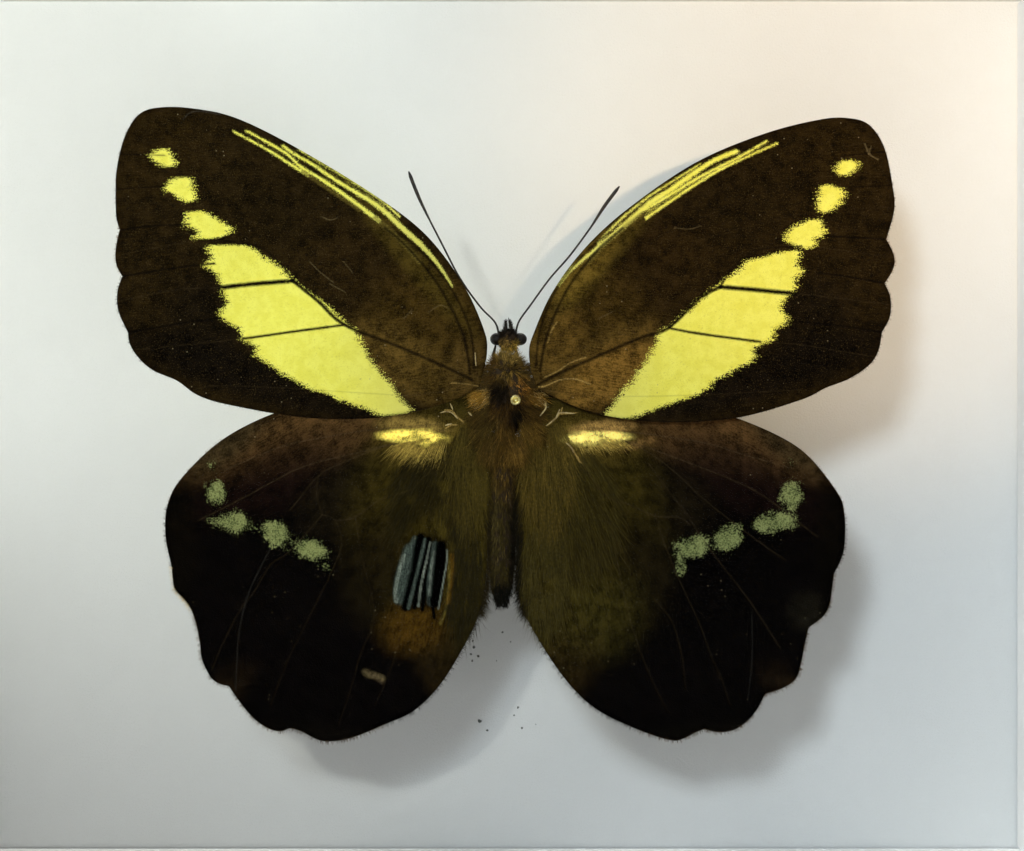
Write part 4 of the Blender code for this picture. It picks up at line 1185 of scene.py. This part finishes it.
THORAX_AT = np.array((0.25, 4.1, 15.6))
THORAX_HALF = np.array((2.85, 4.95, 3.25))
HEAD_AT = np.array((0.43, 10.85, 15.2))
HEAD_HALF = np.array((1.75, 1.5, 1.6))
ABDOMEN_FRONT = np.array((-0.2, -1.2, 14.6))
ABDOMEN_LENGTH = 21.3
ABDOMEN_RADIUS = 1.78
ABDOMEN_SWING = -0.7
ABDOMEN_RINGS = 8
THORAX_FUR = (78, 55, 19)
THORAX_PATCHES = [
    (512, 372, 14, 17, 0, 0.5, 0.9, (112, 88, 36)),
    (510, 356, 12, 8, 0, 0.5, 0.8, (150, 124, 62)),
    (520, 386, 10, 9, 0, 0.5, 0.95, (150, 104, 38)),
    (500, 393, 12, 13, 0, 0.5, 0.95, (20, 14, 6)),
    (519, 416, 10, 12, 0, 0.5, 0.95, (16, 11, 5)),
    (482, 397, 7, 14, 0, 0.4, 0.95, (196, 164, 98)),
    (537, 395, 5, 7, 0, 0.4, 0.95, (196, 170, 108)),
    (493, 427, 12, 12, 0, 0.5, 0.8, (96, 76, 34)),
    (533, 380, 7, 14, 0, 0.5, 0.6, (104, 80, 34)),
    (478, 372, 6, 14, 0, 0.5, 0.6, (100, 80, 34)),
]
# Tufts that spread from the thorax over the wing bases: place, way, how many, length, hair colour
TUFTS = [
    ((484, 396), (-1.0, -0.5), 420, 2.0, (150, 112, 40)),
    ((483, 384), (-1.0, 0.1), 260, 1.6, (88, 68, 30)),
    ((482, 399), (-0.6, -0.4), 260, 1.3, (186, 158, 100)),
    ((487, 410), (-1.0, -0.8), 520, 3.0, (78, 60, 22)),
    ((489, 422), (-0.8, -1.2), 620, 3.6, (84, 66, 24)),
    ((494, 436), (-0.35, -1.3), 700, 4.0, (92, 70, 26)),
    ((530, 396), (1.0, -0.5), 420, 2.0, (128, 94, 34)),
    ((531, 384), (1.0, 0.1), 260, 1.6, (88, 68, 30)),
    ((534, 396), (0.6, -0.4), 240, 1.3, (192, 166, 106)),
    ((527, 410), (1.0, -0.8), 520, 3.0, (84, 62, 22)),
    ((525, 422), (0.9, -1.2), 620, 3.6, (108, 82, 30)),
    ((514, 438), (0.3, -1.3), 700, 3.8, (112, 84, 32)),
    ((504, 430), (0.0, -1.0), 900, 3.2, (92, 68, 24)),
    ((487, 372), (-1.0, 0.5), 300, 1.0, (84, 66, 30)),
    ((528, 372), (1.0, 0.5), 300, 1.0, (84, 66, 30)),
    ((489, 384), (-1.0, 0.0), 300, 1.3, (84, 66, 30)),
    ((526, 384), (1.0, 0.0), 300, 1.3, (84, 66, 30)),
]


def build_thorax():
    verts, faces = ball_mesh(THORAX_AT, THORAX_HALF * 0.93, 30, 44)
    flat = verts[:, :2]
    bulge = 0.14 * ripple(flat, 7, 3.2, 1.0, 21)
    groove = -0.35 * np.exp(-(((flat - from_photo([(500, 392)])[0]) / 1.0) ** 2).sum(1))
    groove -= 0.35 * np.exp(-(((flat - from_photo([(519, 414)])[0]) / 1.0) ** 2).sum(1))
    lump = 0.45 * np.exp(-(((flat - from_photo([(520, 391)])[0]) / 0.8) ** 2).sum(1))
    verts = verts + unit(verts - THORAX_AT) * (bulge + groove + lump)[:, None]
    body = add_mesh("thorax_skin", verts, faces, SKIN, "body_fur")
    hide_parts("thorax")
    way = on_ball(9500, -0.45)
    normal = unit(way / THORAX_HALF)
    roots = THORAX_AT + way * THORAX_HALF * 0.9
    back = np.column_stack((0.45 * way[:, 0], -np.ones(len(way)), np.zeros(len(way))))
    front = way[:, 1] > 0.6
    back[front] = np.column_stack((0.9 * way[front, 0], 0.2 * way[front, 1], np.full(front.sum(), 0.2)))
    clump = np.column_stack([ripple(roots[:, :2], 7, 2.2, 0.5, seed) for seed in (31, 32, 33)])
    direction = normal * 0.45 + back * 0.7 + clump * 0.42 + rng.normal(0, 0.2, way.shape)
    lengths = rng.uniform(0.5, 1.3, len(way))
    bends = back * 0.3 + rng.normal(0, 0.16, way.shape)
    bends[:, 2] -= 0.15
    tips = roots[:, :2] + unit(direction)[:, :2] * 0.4
    hues = fur_hues(tips, THORAX_FUR, THORAX_PATCHES)
    add_hairs("thorax_fur", roots, direction, lengths, rng.uniform(0.02, 0.038, len(way)), bends, hues)
    roots, ways, sizes, tones = [], [], [], []
    for place, (dx, dy), number, length, tint in TUFTS:
        spot = from_photo([place])[0] + rng.normal(0, 0.45, (number, 2))
        within = np.sqrt(np.maximum(0.02, 1 - (((spot - THORAX_AT[:2]) / THORAX_HALF[:2]) ** 2).sum(1)))
        level = np.maximum(THORAX_AT[2] + THORAX_HALF[2] * within * 0.9, 16.2) + rng.normal(0, 0.15, number)
        roots.append(np.column_stack((spot, np.minimum(level, 18.4))))
        way = np.array((dx, dy, 0.0)) / math.hypot(dx, dy)
        drop = -(roots[-1][:, 2] - 16.6) / length
        ways.append(way + np.column_stack((rng.normal(0, 0.2, (number, 2)), drop * 0.9 + 0.12)))
        sizes.append(length * rng.uniform(0.45, 1.1, number))
        tones.append(linear(tint) * np.exp(rng.normal(0, 0.5, (number, 1))))
    roots, ways = np.vstack(roots), np.vstack(ways)
    bends = np.column_stack((rng.normal(0, 0.15, (len(roots), 2)), np.full(len(roots), -0.12)))
    add_hairs("thorax_tufts", roots, ways, np.concatenate(sizes), rng.uniform(0.016, 0.032, len(roots)),
              bends, np.vstack(tones))


PALPS = [
    ((503.5, 339), (506.0, 318), 0.5),
    ((511.5, 338), (508.5, 317), 0.9),
]


def build_head():
    verts, faces = ball_mesh(HEAD_AT + np.array((0.0, -0.25, 0.0)), HEAD_HALF * 0.8, 20, 30)
    verts = verts + unit(verts - HEAD_AT) * (0.06 * ripple(verts[:, :2], 5, 1.5, 0.6, 22))[:, None]
    head = add_mesh("head_skin", verts, faces, SKIN, "body_fur")
    eyes = [ball_mesh(HEAD_AT + np.array((side * 1.45, -0.15, 0.1)), (0.85, 0.78, 1.0), 24, 36)
            for side in (-1, 1)]
    add_mesh("head_eyes", *joined(eyes), eye_material(), "horn")
    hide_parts("head")
    shapes, roots, ways, sizes = [], [], [], []
    for start, end, lean in PALPS:
        (x0, y0), (x1, y1) = from_photo([start, end])
        t = np.linspace(0, 1, 14)
        run = np.column_stack((x0 + (x1 - x0) * t + 0.12 * lean * np.sin(math.pi * t), y0 + (y1 - y0) * t,
                               15.3 + 0.5 * t))
        radii = np.interp(t, (0, 0.35, 0.75, 0.8, 1), (0.20, 0.24, 0.17, 0.11, 0.03))
        shapes.append(tube_mesh(run, radii, 12))
        for _ in range(260):
            at, turn = rng.uniform(0, 0.85), rng.uniform(0, 2 * math.pi)
            ring = np.array((math.cos(turn), 0.0, math.sin(turn)))
            middle = np.array([np.interp(at, t, run[:, axis]) for axis in range(3)])
            roots.append(middle + ring * np.interp(at, t, radii) * 0.8)
            ways.append(ring * 0.45 + np.array((0.0, 1.0, 0.1)))
            sizes.append(rng.uniform(0.2, 0.5))
    add_mesh("head_palps", *joined(shapes), horn_material("palp_horn", (12, 10, 8), (58, 50, 38), 0.35),
             "body_fur")
    roots, ways = np.array(roots), np.array(ways)
    hues = np.tile(linear((30, 24, 16)), (len(roots), 1)) * np.exp(rng.normal(0, 0.8, (len(roots), 1)))
    way = on_ball(2600, -0.4)
    way = way[np.abs(way[:, 0]) < 0.75]
    normal = unit(way / HEAD_HALF)
    top = HEAD_AT + np.array((0.0, -0.3, 0.0)) + way * HEAD_HALF * 0.75
    back = np.column_stack((0.3 * way[:, 0], -0.4 + 0.4 * way[:, 1], np.zeros(len(way))))
    clump = np.column_stack([ripple(top[:, :2], 5, 1.2, 0.4, seed) for seed in (41, 42, 43)])
    direction = normal * 0.6 + back * 0.5 + clump * 0.4 + rng.normal(0, 0.2, way.shape)
    head_hues = fur_hues(top[:, :2], (40, 30, 14), [
        (511, 349, 11, 8, 0, 0.5, 0.9, (182, 150, 60)), (506, 342, 6, 4, 0, 0.5, 0.7, (150, 118, 60)),
        (508, 333, 12, 4, 0, 0.4, 0.9, (18, 13, 8))], 0.7)
    add_hairs("head_fur", np.vstack((roots, top)), np.vstack((ways, direction)),
              np.concatenate((sizes, rng.uniform(0.3, 0.75, len(top)))),
              rng.uniform(0.016, 0.03, len(roots) + len(top)),
              rng.normal(0, 0.15, (len(roots) + len(top), 3)), np.vstack((hues, head_hues)))


def abdomen_place(t, turn, grow=1.0):
    """A place on the abdomen, from its front end at 0 to its tip at 1, and which way is out there."""
    radius = ABDOMEN_RADIUS * np.minimum(1.0, 0.55 + 3.2 * t) * np.sqrt(np.maximum(0.0, 1 - t ** 5))
    ring = 1 + 0.035 * np.cos(2 * math.pi * ABDOMEN_RINGS * t) * smoothstep(0.05, 0.2, t)
    out = np.column_stack((np.cos(turn), np.zeros(len(t)), np.sin(turn)))
    axis = np.column_stack((ABDOMEN_LENGTH * t * math.sin(math.radians(ABDOMEN_SWING)),
                            -ABDOMEN_LENGTH * t, np.zeros(len(t))))
    return ABDOMEN_FRONT + axis + out * (radius * ring * grow)[:, None], out


def build_abdomen():
    rows, columns = 90, 40
    t = 1 - (1 - np.linspace(0, 1, rows)) ** 1.3
    t[-1] = 0.9995
    turns = np.arange(columns) * 2 * math.pi / columns
    verts, out = abdomen_place(np.repeat(t, columns), np.tile(turns, rows), 0.95)
    verts = verts + out * (0.05 * ripple(verts[:, :2], 7, 2.0, 0.6, 23))[:, None]
    faces = []
    for row in range(rows - 1):
        for k in range(columns):
            a, b = row * columns + k, row * columns + (k + 1) % columns
            faces.append((a, b, b + columns, a + columns))
    faces.append(tuple(range(columns - 1, -1, -1)))
    faces.append(tuple(range((rows - 1) * columns, rows * columns)))
    body = add_mesh("abdomen_skin", verts, faces, SKIN, "body_fur")
    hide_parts("abdomen")
    count = 7500
    t = rng.uniform(0.0, 0.99, count)
    turn = rng.uniform(-0.5, math.pi + 0.5, count)
    roots, out = abdomen_place(t, turn, 0.9)
    clump = np.column_stack([ripple(roots[:, :2], 6, 2.4, 0.6, seed) for seed in (51, 52, 53)])
    back = np.array((0.0, -1.0, 0.0))
    direction = out * 0.3 + back + clump * 0.2 + rng.normal(0, 0.12, out.shape)
    lengths = rng.uniform(0.7, 1.7, count) * np.interp(t, (0, 0.2, 0.8, 1), (1.5, 1.1, 0.8, 0.7))
    # Abdomen fur colours: the narrow light strip down its left side is a painted highlight, and the dark
    # strip down its right side, by the right hindwing, is painted shadow
    hues = fur_hues(roots[:, :2], (66, 50, 20), [
        (503, 455, 22, 36, 0, 0.5, 0.8, (98, 74, 26)), (500, 555, 20, 58, 0, 0.4, 0.9, (66, 56, 20)),
        (496, 530, 4, 50, 0, 0.5, 0.6, (84, 72, 36)), (503, 598, 16, 18, 0, 0.4, 0.95, (9, 8, 4)),
        (514, 540, 7, 60, 0, 0.5, 0.9, (10, 8, 4))])
    bends = np.column_stack((rng.normal(0, 0.08, (count, 2)), np.full(count, -0.1)))
    add_hairs("abdomen_fur", roots, direction, lengths, rng.uniform(0.02, 0.038, count), bends, hues)


ANTENNAE = {
    "antenna_left": [(499, 336), (495, 322), (480, 306), (460, 278), (440, 240), (420, 200), (408, 170)],
    "antenna_right": [(515.5, 334), (519, 321), (531, 304), (550, 278), (570, 255), (590, 228),
                      (605, 205), (620, 185)],
}
ANTENNA_LEVEL = 15.9
ANTENNA_RADIUS = 0.13
ANTENNA_JOINT = 0.38


def build_antennae():
    horn = horn_material("antenna_horn", (12, 9, 7), (58, 46, 32), 0.4)
    for name, route in ANTENNAE.items():
        flat = smooth_run(from_photo(route), 0.06)
        reach = np.concatenate(((0,), np.cumsum(np.linalg.norm(np.diff(flat, axis=0), axis=1))))
        whole = reach[-1]
        level = ANTENNA_LEVEL + 0.35 * np.sin(reach / whole * math.pi)
        joint = np.abs(np.sin(reach * math.pi / ANTENNA_JOINT)) ** 0.35
        club = np.interp(reach / whole, (0, 0.08, 0.72, 0.86, 0.97, 1), (1.15, 0.9, 0.95, 1.7, 1.75, 0.7))
        radii = ANTENNA_RADIUS * club * (0.86 + 0.14 * joint)
        horns = add_mesh(name + "_joints", *tube_mesh(np.column_stack((flat, level)), radii, 10), horn,
                         "horn")
        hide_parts(name)


PIN_AT = (1.28, 2.97)
PIN_RADIUS = 0.2
PIN_PROFILE = [(0.0, -9.0), (0.05, -8.6), (0.2, -6.5), (0.2, 28.2), (0.30, 28.35), (0.5, 28.45),
               (0.585, 28.6), (0.615, 28.8), (0.585, 29.0), (0.5, 29.13), (0.4, 29.15), (0.32, 29.08),
               (0.26, 28.95), (0.2, 28.86), (0.1, 28.82), (0.0, 28.81)]


def build_pin():
    sides = 40
    verts = [(*PIN_AT, PIN_PROFILE[0][1])]
    for radius, level in PIN_PROFILE[1:-1]:
        for k in range(sides):
            turn = 2 * math.pi * k / sides
            verts.append((PIN_AT[0] + radius * math.cos(turn), PIN_AT[1] + radius * math.sin(turn), level))
    verts.append((*PIN_AT, PIN_PROFILE[-1][1]))
    faces = [(0, 1 + (k + 1) % sides, 1 + k) for k in range(sides)]
    for row in range(len(PIN_PROFILE) - 3):
        for k in range(sides):
            a, b = 1 + row * sides + k, 1 + row * sides + (k + 1) % sides
            faces.append((a, b, b + sides, a + sides))
    first = len(verts) - 1 - sides
    faces += [(first + k, first + (k + 1) % sides, len(verts) - 1) for k in range(sides)]
    pin = add_mesh("pin_turned", np.array(verts), faces, brass_material(), "brassy_pin")
    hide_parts("pin")


SCLERITES = [
    [(440, 413), (446, 411.5), (452, 413), (458, 419)],
    [(450, 403), (453, 410)],
    [(468, 412), (472, 416)],
    [(445, 425.5), (452, 423.5)],
    [(475, 352), (475.5, 360), (476, 366)],
    [(545, 403), (546, 408), (540, 416)],
    [(546, 426), (556, 418), (560, 413), (575, 413.5)],
    [(556, 418), (560, 409)],
    [(566, 443), (571, 447), (574, 453)],
]


def build_sclerites():
    """Small glossy cream plates and vein roots where the wings meet the thorax."""
    shapes = []
    for route in SCLERITES:
        flat = smooth_run(from_photo(route), 0.12)
        level = np.maximum(wing_height(FOREWING_ROOT, *flat.T), wing_height(HINDWING_ROOT, *flat.T))
        t = np.linspace(0, 1, len(flat))
        radii = 0.085 * np.sqrt(np.maximum(0.03, 1 - (2 * t - 1) ** 4)) * rng.uniform(0.7, 1.1, len(t))
        shapes.append(tube_mesh(np.column_stack((flat, level + 0.12)), radii, 10))
    horn = horn_material("pale_horn", (200, 178, 122), (120, 94, 50), 0.2)
    add_mesh("wing_roots", *joined(shapes), horn, "horn")


# Dark specks on the board, as the photo shows: place in pixels, radius in millimetres
SPECKS = [
    ((470.4, 654.2), 0.13), ((471.5, 661.0), 0.17), ((468.3, 668.3), 0.15), ((476.1, 670.4), 0.17),
    ((469.8, 675.3), 0.14), ((502.0, 645.1), 0.14), ((510.5, 655.3), 0.09), ((518.4, 724.9), 0.14),
    ((514.2, 733.4), 0.10), ((477.6, 739.4), 0.24), ((485.7, 749.3), 0.15), ((522.6, 746.7), 0.13),
    ((495.5, 675.5), 0.07), ((537.3, 742.8), 0.07),
]


def build_specks():
    """Crumbs of dirt lying on the board, each a low uneven lump."""
    shapes = []
    for place, radius in SPECKS:
        verts, faces = ball_mesh(np.array((*from_photo([place])[0], 0.03)), (radius, radius, 0.06), 8, 14)
        middle = verts.mean(0)
        uneven = 1 + 0.22 * ripple(verts[:, :2], 4, radius * 2, radius, 61)
        shapes.append((middle + (verts - middle) * uneven[:, None], faces))
    dirt = horn_material("speck_dirt", (96, 100, 96), (118, 121, 116), 0.8)
    add_mesh("board_specks", *joined(shapes), dirt, "white_board")


GLASS_IOR = 1.05
# Lights on the specimen: aim on the board, way to the light, distance, cone, size, power, colour
INSIDE_LIGHTS = {
    "cool_right": ((112.0, -30.0, 0.0), (-7.5, 8.0, 16.5), 570.0, 34.4, 52.0, 4.9, (0.80, 0.92, 1.0)),
    "cool_left": ((-48.8, 32.0, 0.0), (-6.5, 7.6, 16.5), 550.0, 9.2, 60.0, 32.5, (0.973, 1.0, 0.919)),
    "warm_side": ((46.0, 38.0, 0.0), (4.0, 0.3, 15.9), 440.0, 14.8, 9.0, 3.9, (1.0, 0.70, 0.40)),
}
WORLD_STRENGTH = 0.145
INSIDE = ("pinning_board", "liner")
# What stands in the way of the photo's light, which came over the frame, and casts no shadow
SHADOWLESS = ("glass_pane", "rail_top", "rail_left", "rail_right", "liner_top", "liner_left",
              "liner_right", "forewing_left")


def add_light(name, kind, at, aim, power, colour, receivers, **settings):
    data = bpy.data.lights.new(name, kind)
    data.energy = power
    data.color = colour
    for key, value in settings.items():
        setattr(data, key, value)
    light = bpy.data.objects.new(name, data)
    light.location = at
    light.rotation_euler = (Vector(aim) - Vector(at)).to_track_quat("-Z", "Y").to_euler()
    scene.collection.objects.link(light)
    light.light_linking.receiver_collection = receivers


def add_lights():
    """Soft light on the specimen from the photo's two sides, and studio light on the frame."""
    within = bpy.data.collections.new("lit_inside")
    around = bpy.data.collections.new("lit_around")
    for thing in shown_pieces():
        specimen = thing.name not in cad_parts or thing.name.startswith("leg")
        if thing.name.startswith(SHADOWLESS):
            thing.visible_shadow = False
        if specimen or thing.name.startswith(INSIDE):
            within.objects.link(thing)
        if thing.name.startswith("liner") or not (thing.name == "glass_pane" or thing.name in within.objects):
            around.objects.link(thing)
    around.objects.link(bpy.data.objects["floor"])
    for name, (aim, way, distance, cone, radius, power, colour) in INSIDE_LIGHTS.items():
        at = np.array(aim) + unit(np.array(way)) * distance
        at, aim = to_world([at, aim])
        add_light(name, "SPOT", at, aim, power, colour, within,
                  shadow_soft_size=radius * MM, spot_size=math.radians(cone), spot_blend=1.0)
    middle = (0.0, 0.0, MIDDLE_HEIGHT)
    add_light("studio_left", "AREA", (-0.55, -0.55, 0.75), middle, 5.5, (1.0, 0.98, 0.95), around,
              shape="DISK", size=0.5)
    add_light("studio_right", "AREA", (0.7, -0.4, 0.4), middle, 2.5, (0.95, 0.98, 1.0), around,
              shape="DISK", size=0.6)
    add_light("studio_back", "AREA", (0.35, 0.7, 0.6), middle, 4.5, (1.0, 1.0, 1.0), around,
              shape="DISK", size=0.6)


def add_floor():
    mesh = bpy.data.meshes.new("floor")
    reach = 3.0
    mesh.from_pydata([(-reach, -reach, 0), (reach, -reach, 0), (reach, reach, 0), (-reach, reach, 0)],
                     [], [(0, 1, 2, 3)])
    s = Shader("plain_floor")
    s.set(Base_Color=(0.72, 0.72, 0.71, 1), Roughness=0.8)
    mesh.materials.append(s.material)
    floor = bpy.data.objects.new("floor", mesh)
    scene.collection.objects.link(floor)
    floor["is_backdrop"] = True


def set_world():
    world = bpy.data.worlds.new("pale_room")
    world.use_nodes = True
    world.node_tree.nodes["Background"].inputs["Color"].default_value = (0.86, 0.92, 1.0, 1)
    world.node_tree.nodes["Background"].inputs["Strength"].default_value = WORLD_STRENGTH
    scene.world = world
    scene.view_settings.view_transform = "Standard"


WING = wing_material()
FUR = fur_material()
SKIN = skin_material()
dress_frame()
add_camera()
set_world()
add_floor()

edges = {}
for side in ("left", "right"):
    fore_patches, hind_patches = FOREWING_PATCHES, HINDWING_PATCHES
    if side == "right":
        fore_patches = mirror_patches(fore_patches) + FOREWING_PATCHES_RIGHT
        hind_patches = mirror_patches(hind_patches)
    left = side == "left"
    edges["fore_" + side] = build_wing(
        "forewing_" + side, FOREWING_LEFT if left else FOREWING_RIGHT, FOREWING_ROOT,
        FOREWING_LEFT_LINES if left else FOREWING_RIGHT_LINES, FOREWING_GROUND, fore_patches, 1.0,
        yellow=YELLOW_LEFT if left else YELLOW_RIGHT,
        streaks=STREAKS_LEFT if left else STREAKS_RIGHT)
    edges["hind_" + side] = build_wing(
        "hindwing_" + side, HINDWING_LEFT if left else HINDWING_RIGHT, HINDWING_ROOT,
        HINDWING_LEFT_LINES if left else HINDWING_RIGHT_LINES, HINDWING_GROUND,
        hind_patches + (CREAM_PATCHES_LEFT if left else CREAM_PATCHES_RIGHT), 1.3,
        spots=SPOTS_LEFT if left else SPOTS_RIGHT, extra=BARE_PATCH if left else (),
        patch=(420, 575, 38, 52, -10) if left else None)

BROWN, TAN, CREAM = (38, 26, 13), (92, 68, 38), (196, 168, 104)
add_wing_fringe("forewing_left_fringe", edges["fore_left"], [
    ((141, 115), (121, 230), 14, BROWN, 0.8), ((119, 225), (124, 277), 16, TAN, 1.0),
    ((124, 277), (130, 333), 14, BROWN, 1.0), ((130, 333), (155, 371), 14, BROWN, 0.9),
    ((155, 371), (445, 403), 7, BROWN, 0.7)], FOREWING_ROOT, BROWN, 0.42)
add_wing_fringe("forewing_right_fringe", edges["fore_right"], [
    ((868, 126), (885, 240), 14, BROWN, 0.8), ((886, 235), (883, 284), 16, TAN, 1.0),
    ((883, 284), (880, 333), 14, BROWN, 1.0), ((880, 333), (848, 379), 14, BROWN, 0.9),
    ((848, 379), (548, 394), 7, BROWN, 0.7)], FOREWING_ROOT, BROWN, 0.42)
add_wing_fringe("hindwing_left_fringe", edges["hind_left"], [
    ((222, 440), (168, 505), 10, TAN, 0.7), ((168, 505), (172, 567), 14, BROWN, 1.0),
    ((172, 567), (191, 610), 18, CREAM, 1.2), ((191, 610), (229, 686), 16, TAN, 1.2),
    ((229, 686), (289, 729), 16, TAN, 1.2), ((289, 729), (385, 725), 16, TAN, 1.3),
    ((385, 725), (485, 585), 14, BROWN, 1.3)], HINDWING_ROOT, BROWN, 0.5)
add_wing_fringe("hindwing_right_fringe", edges["hind_right"], [
    ((800, 449), (844, 514), 10, TAN, 0.7), ((844, 514), (834, 573), 14, BROWN, 1.0),
    ((834, 573), (809, 628), 16, TAN, 1.0), ((809, 628), (765, 694), 16, TAN, 1.2),
    ((765, 694), (705, 730), 16, TAN, 1.2), ((705, 730), (637, 730), 16, TAN, 1.3),
    ((637, 730), (520, 600), 14, BROWN, 1.3)], HINDWING_ROOT, BROWN, 0.5)

OLIVE_DARK, OLIVE_LIGHT = (44, 36, 9), (112, 96, 36)
add_wing_hairs("hindwing_left_hairs", HINDWING_ROOT, [
    (468, 470, 18, 50, 0, 0.30, 1.0, (58, 47, 13), (136, 116, 44)),
    (435, 500, 40, 60, 0, 0.34, 1.0, (30, 25, 6), (80, 68, 26)),
    (462, 570, 20, 60, 0, 0.22, 0.9, (30, 25, 7), (76, 66, 26)),
    (424, 440, 24, 5, -6, 0.07, 0.85, (160, 132, 56), (246, 216, 108)),
], (470, 372), 5600, 4.2, 0.05, (420, 575, 33, 45, -10))
add_wing_hairs("hindwing_right_hairs", HINDWING_ROOT, [
    (546, 468, 26, 55, 0, 0.34, 1.0, (72, 58, 19), (150, 124, 48)),
    (575, 510, 42, 65, 0, 0.36, 1.0, OLIVE_DARK, OLIVE_LIGHT),
    (545, 570, 22, 60, 0, 0.24, 0.9, (54, 46, 14), (122, 106, 46)),
    (600, 441, 26, 3, 3, 0.04, 0.45, (190, 158, 72), (255, 228, 122)),
], (538, 372), 5600, 4.2, 0.05)

add_margin_hairs("hindwing_left_margin", [(487, 430), (488, 490), (488, 540), (487, 585), (480, 612)], 1,
                 (52, 42, 17), 2600)
# The right margin's hairs are darker and denser than the left's: painted shadow in the gap between the
# abdomen and the right hindwing
add_margin_hairs("hindwing_right_margin", [(523, 430), (520, 490), (519, 540), (519, 585), (526, 612)], -1,
                 (26, 21, 8), 4700)
build_abdomen()
build_thorax()
build_head()
build_antennae()
build_pin()
build_sclerites()
build_specks()
add_lights()
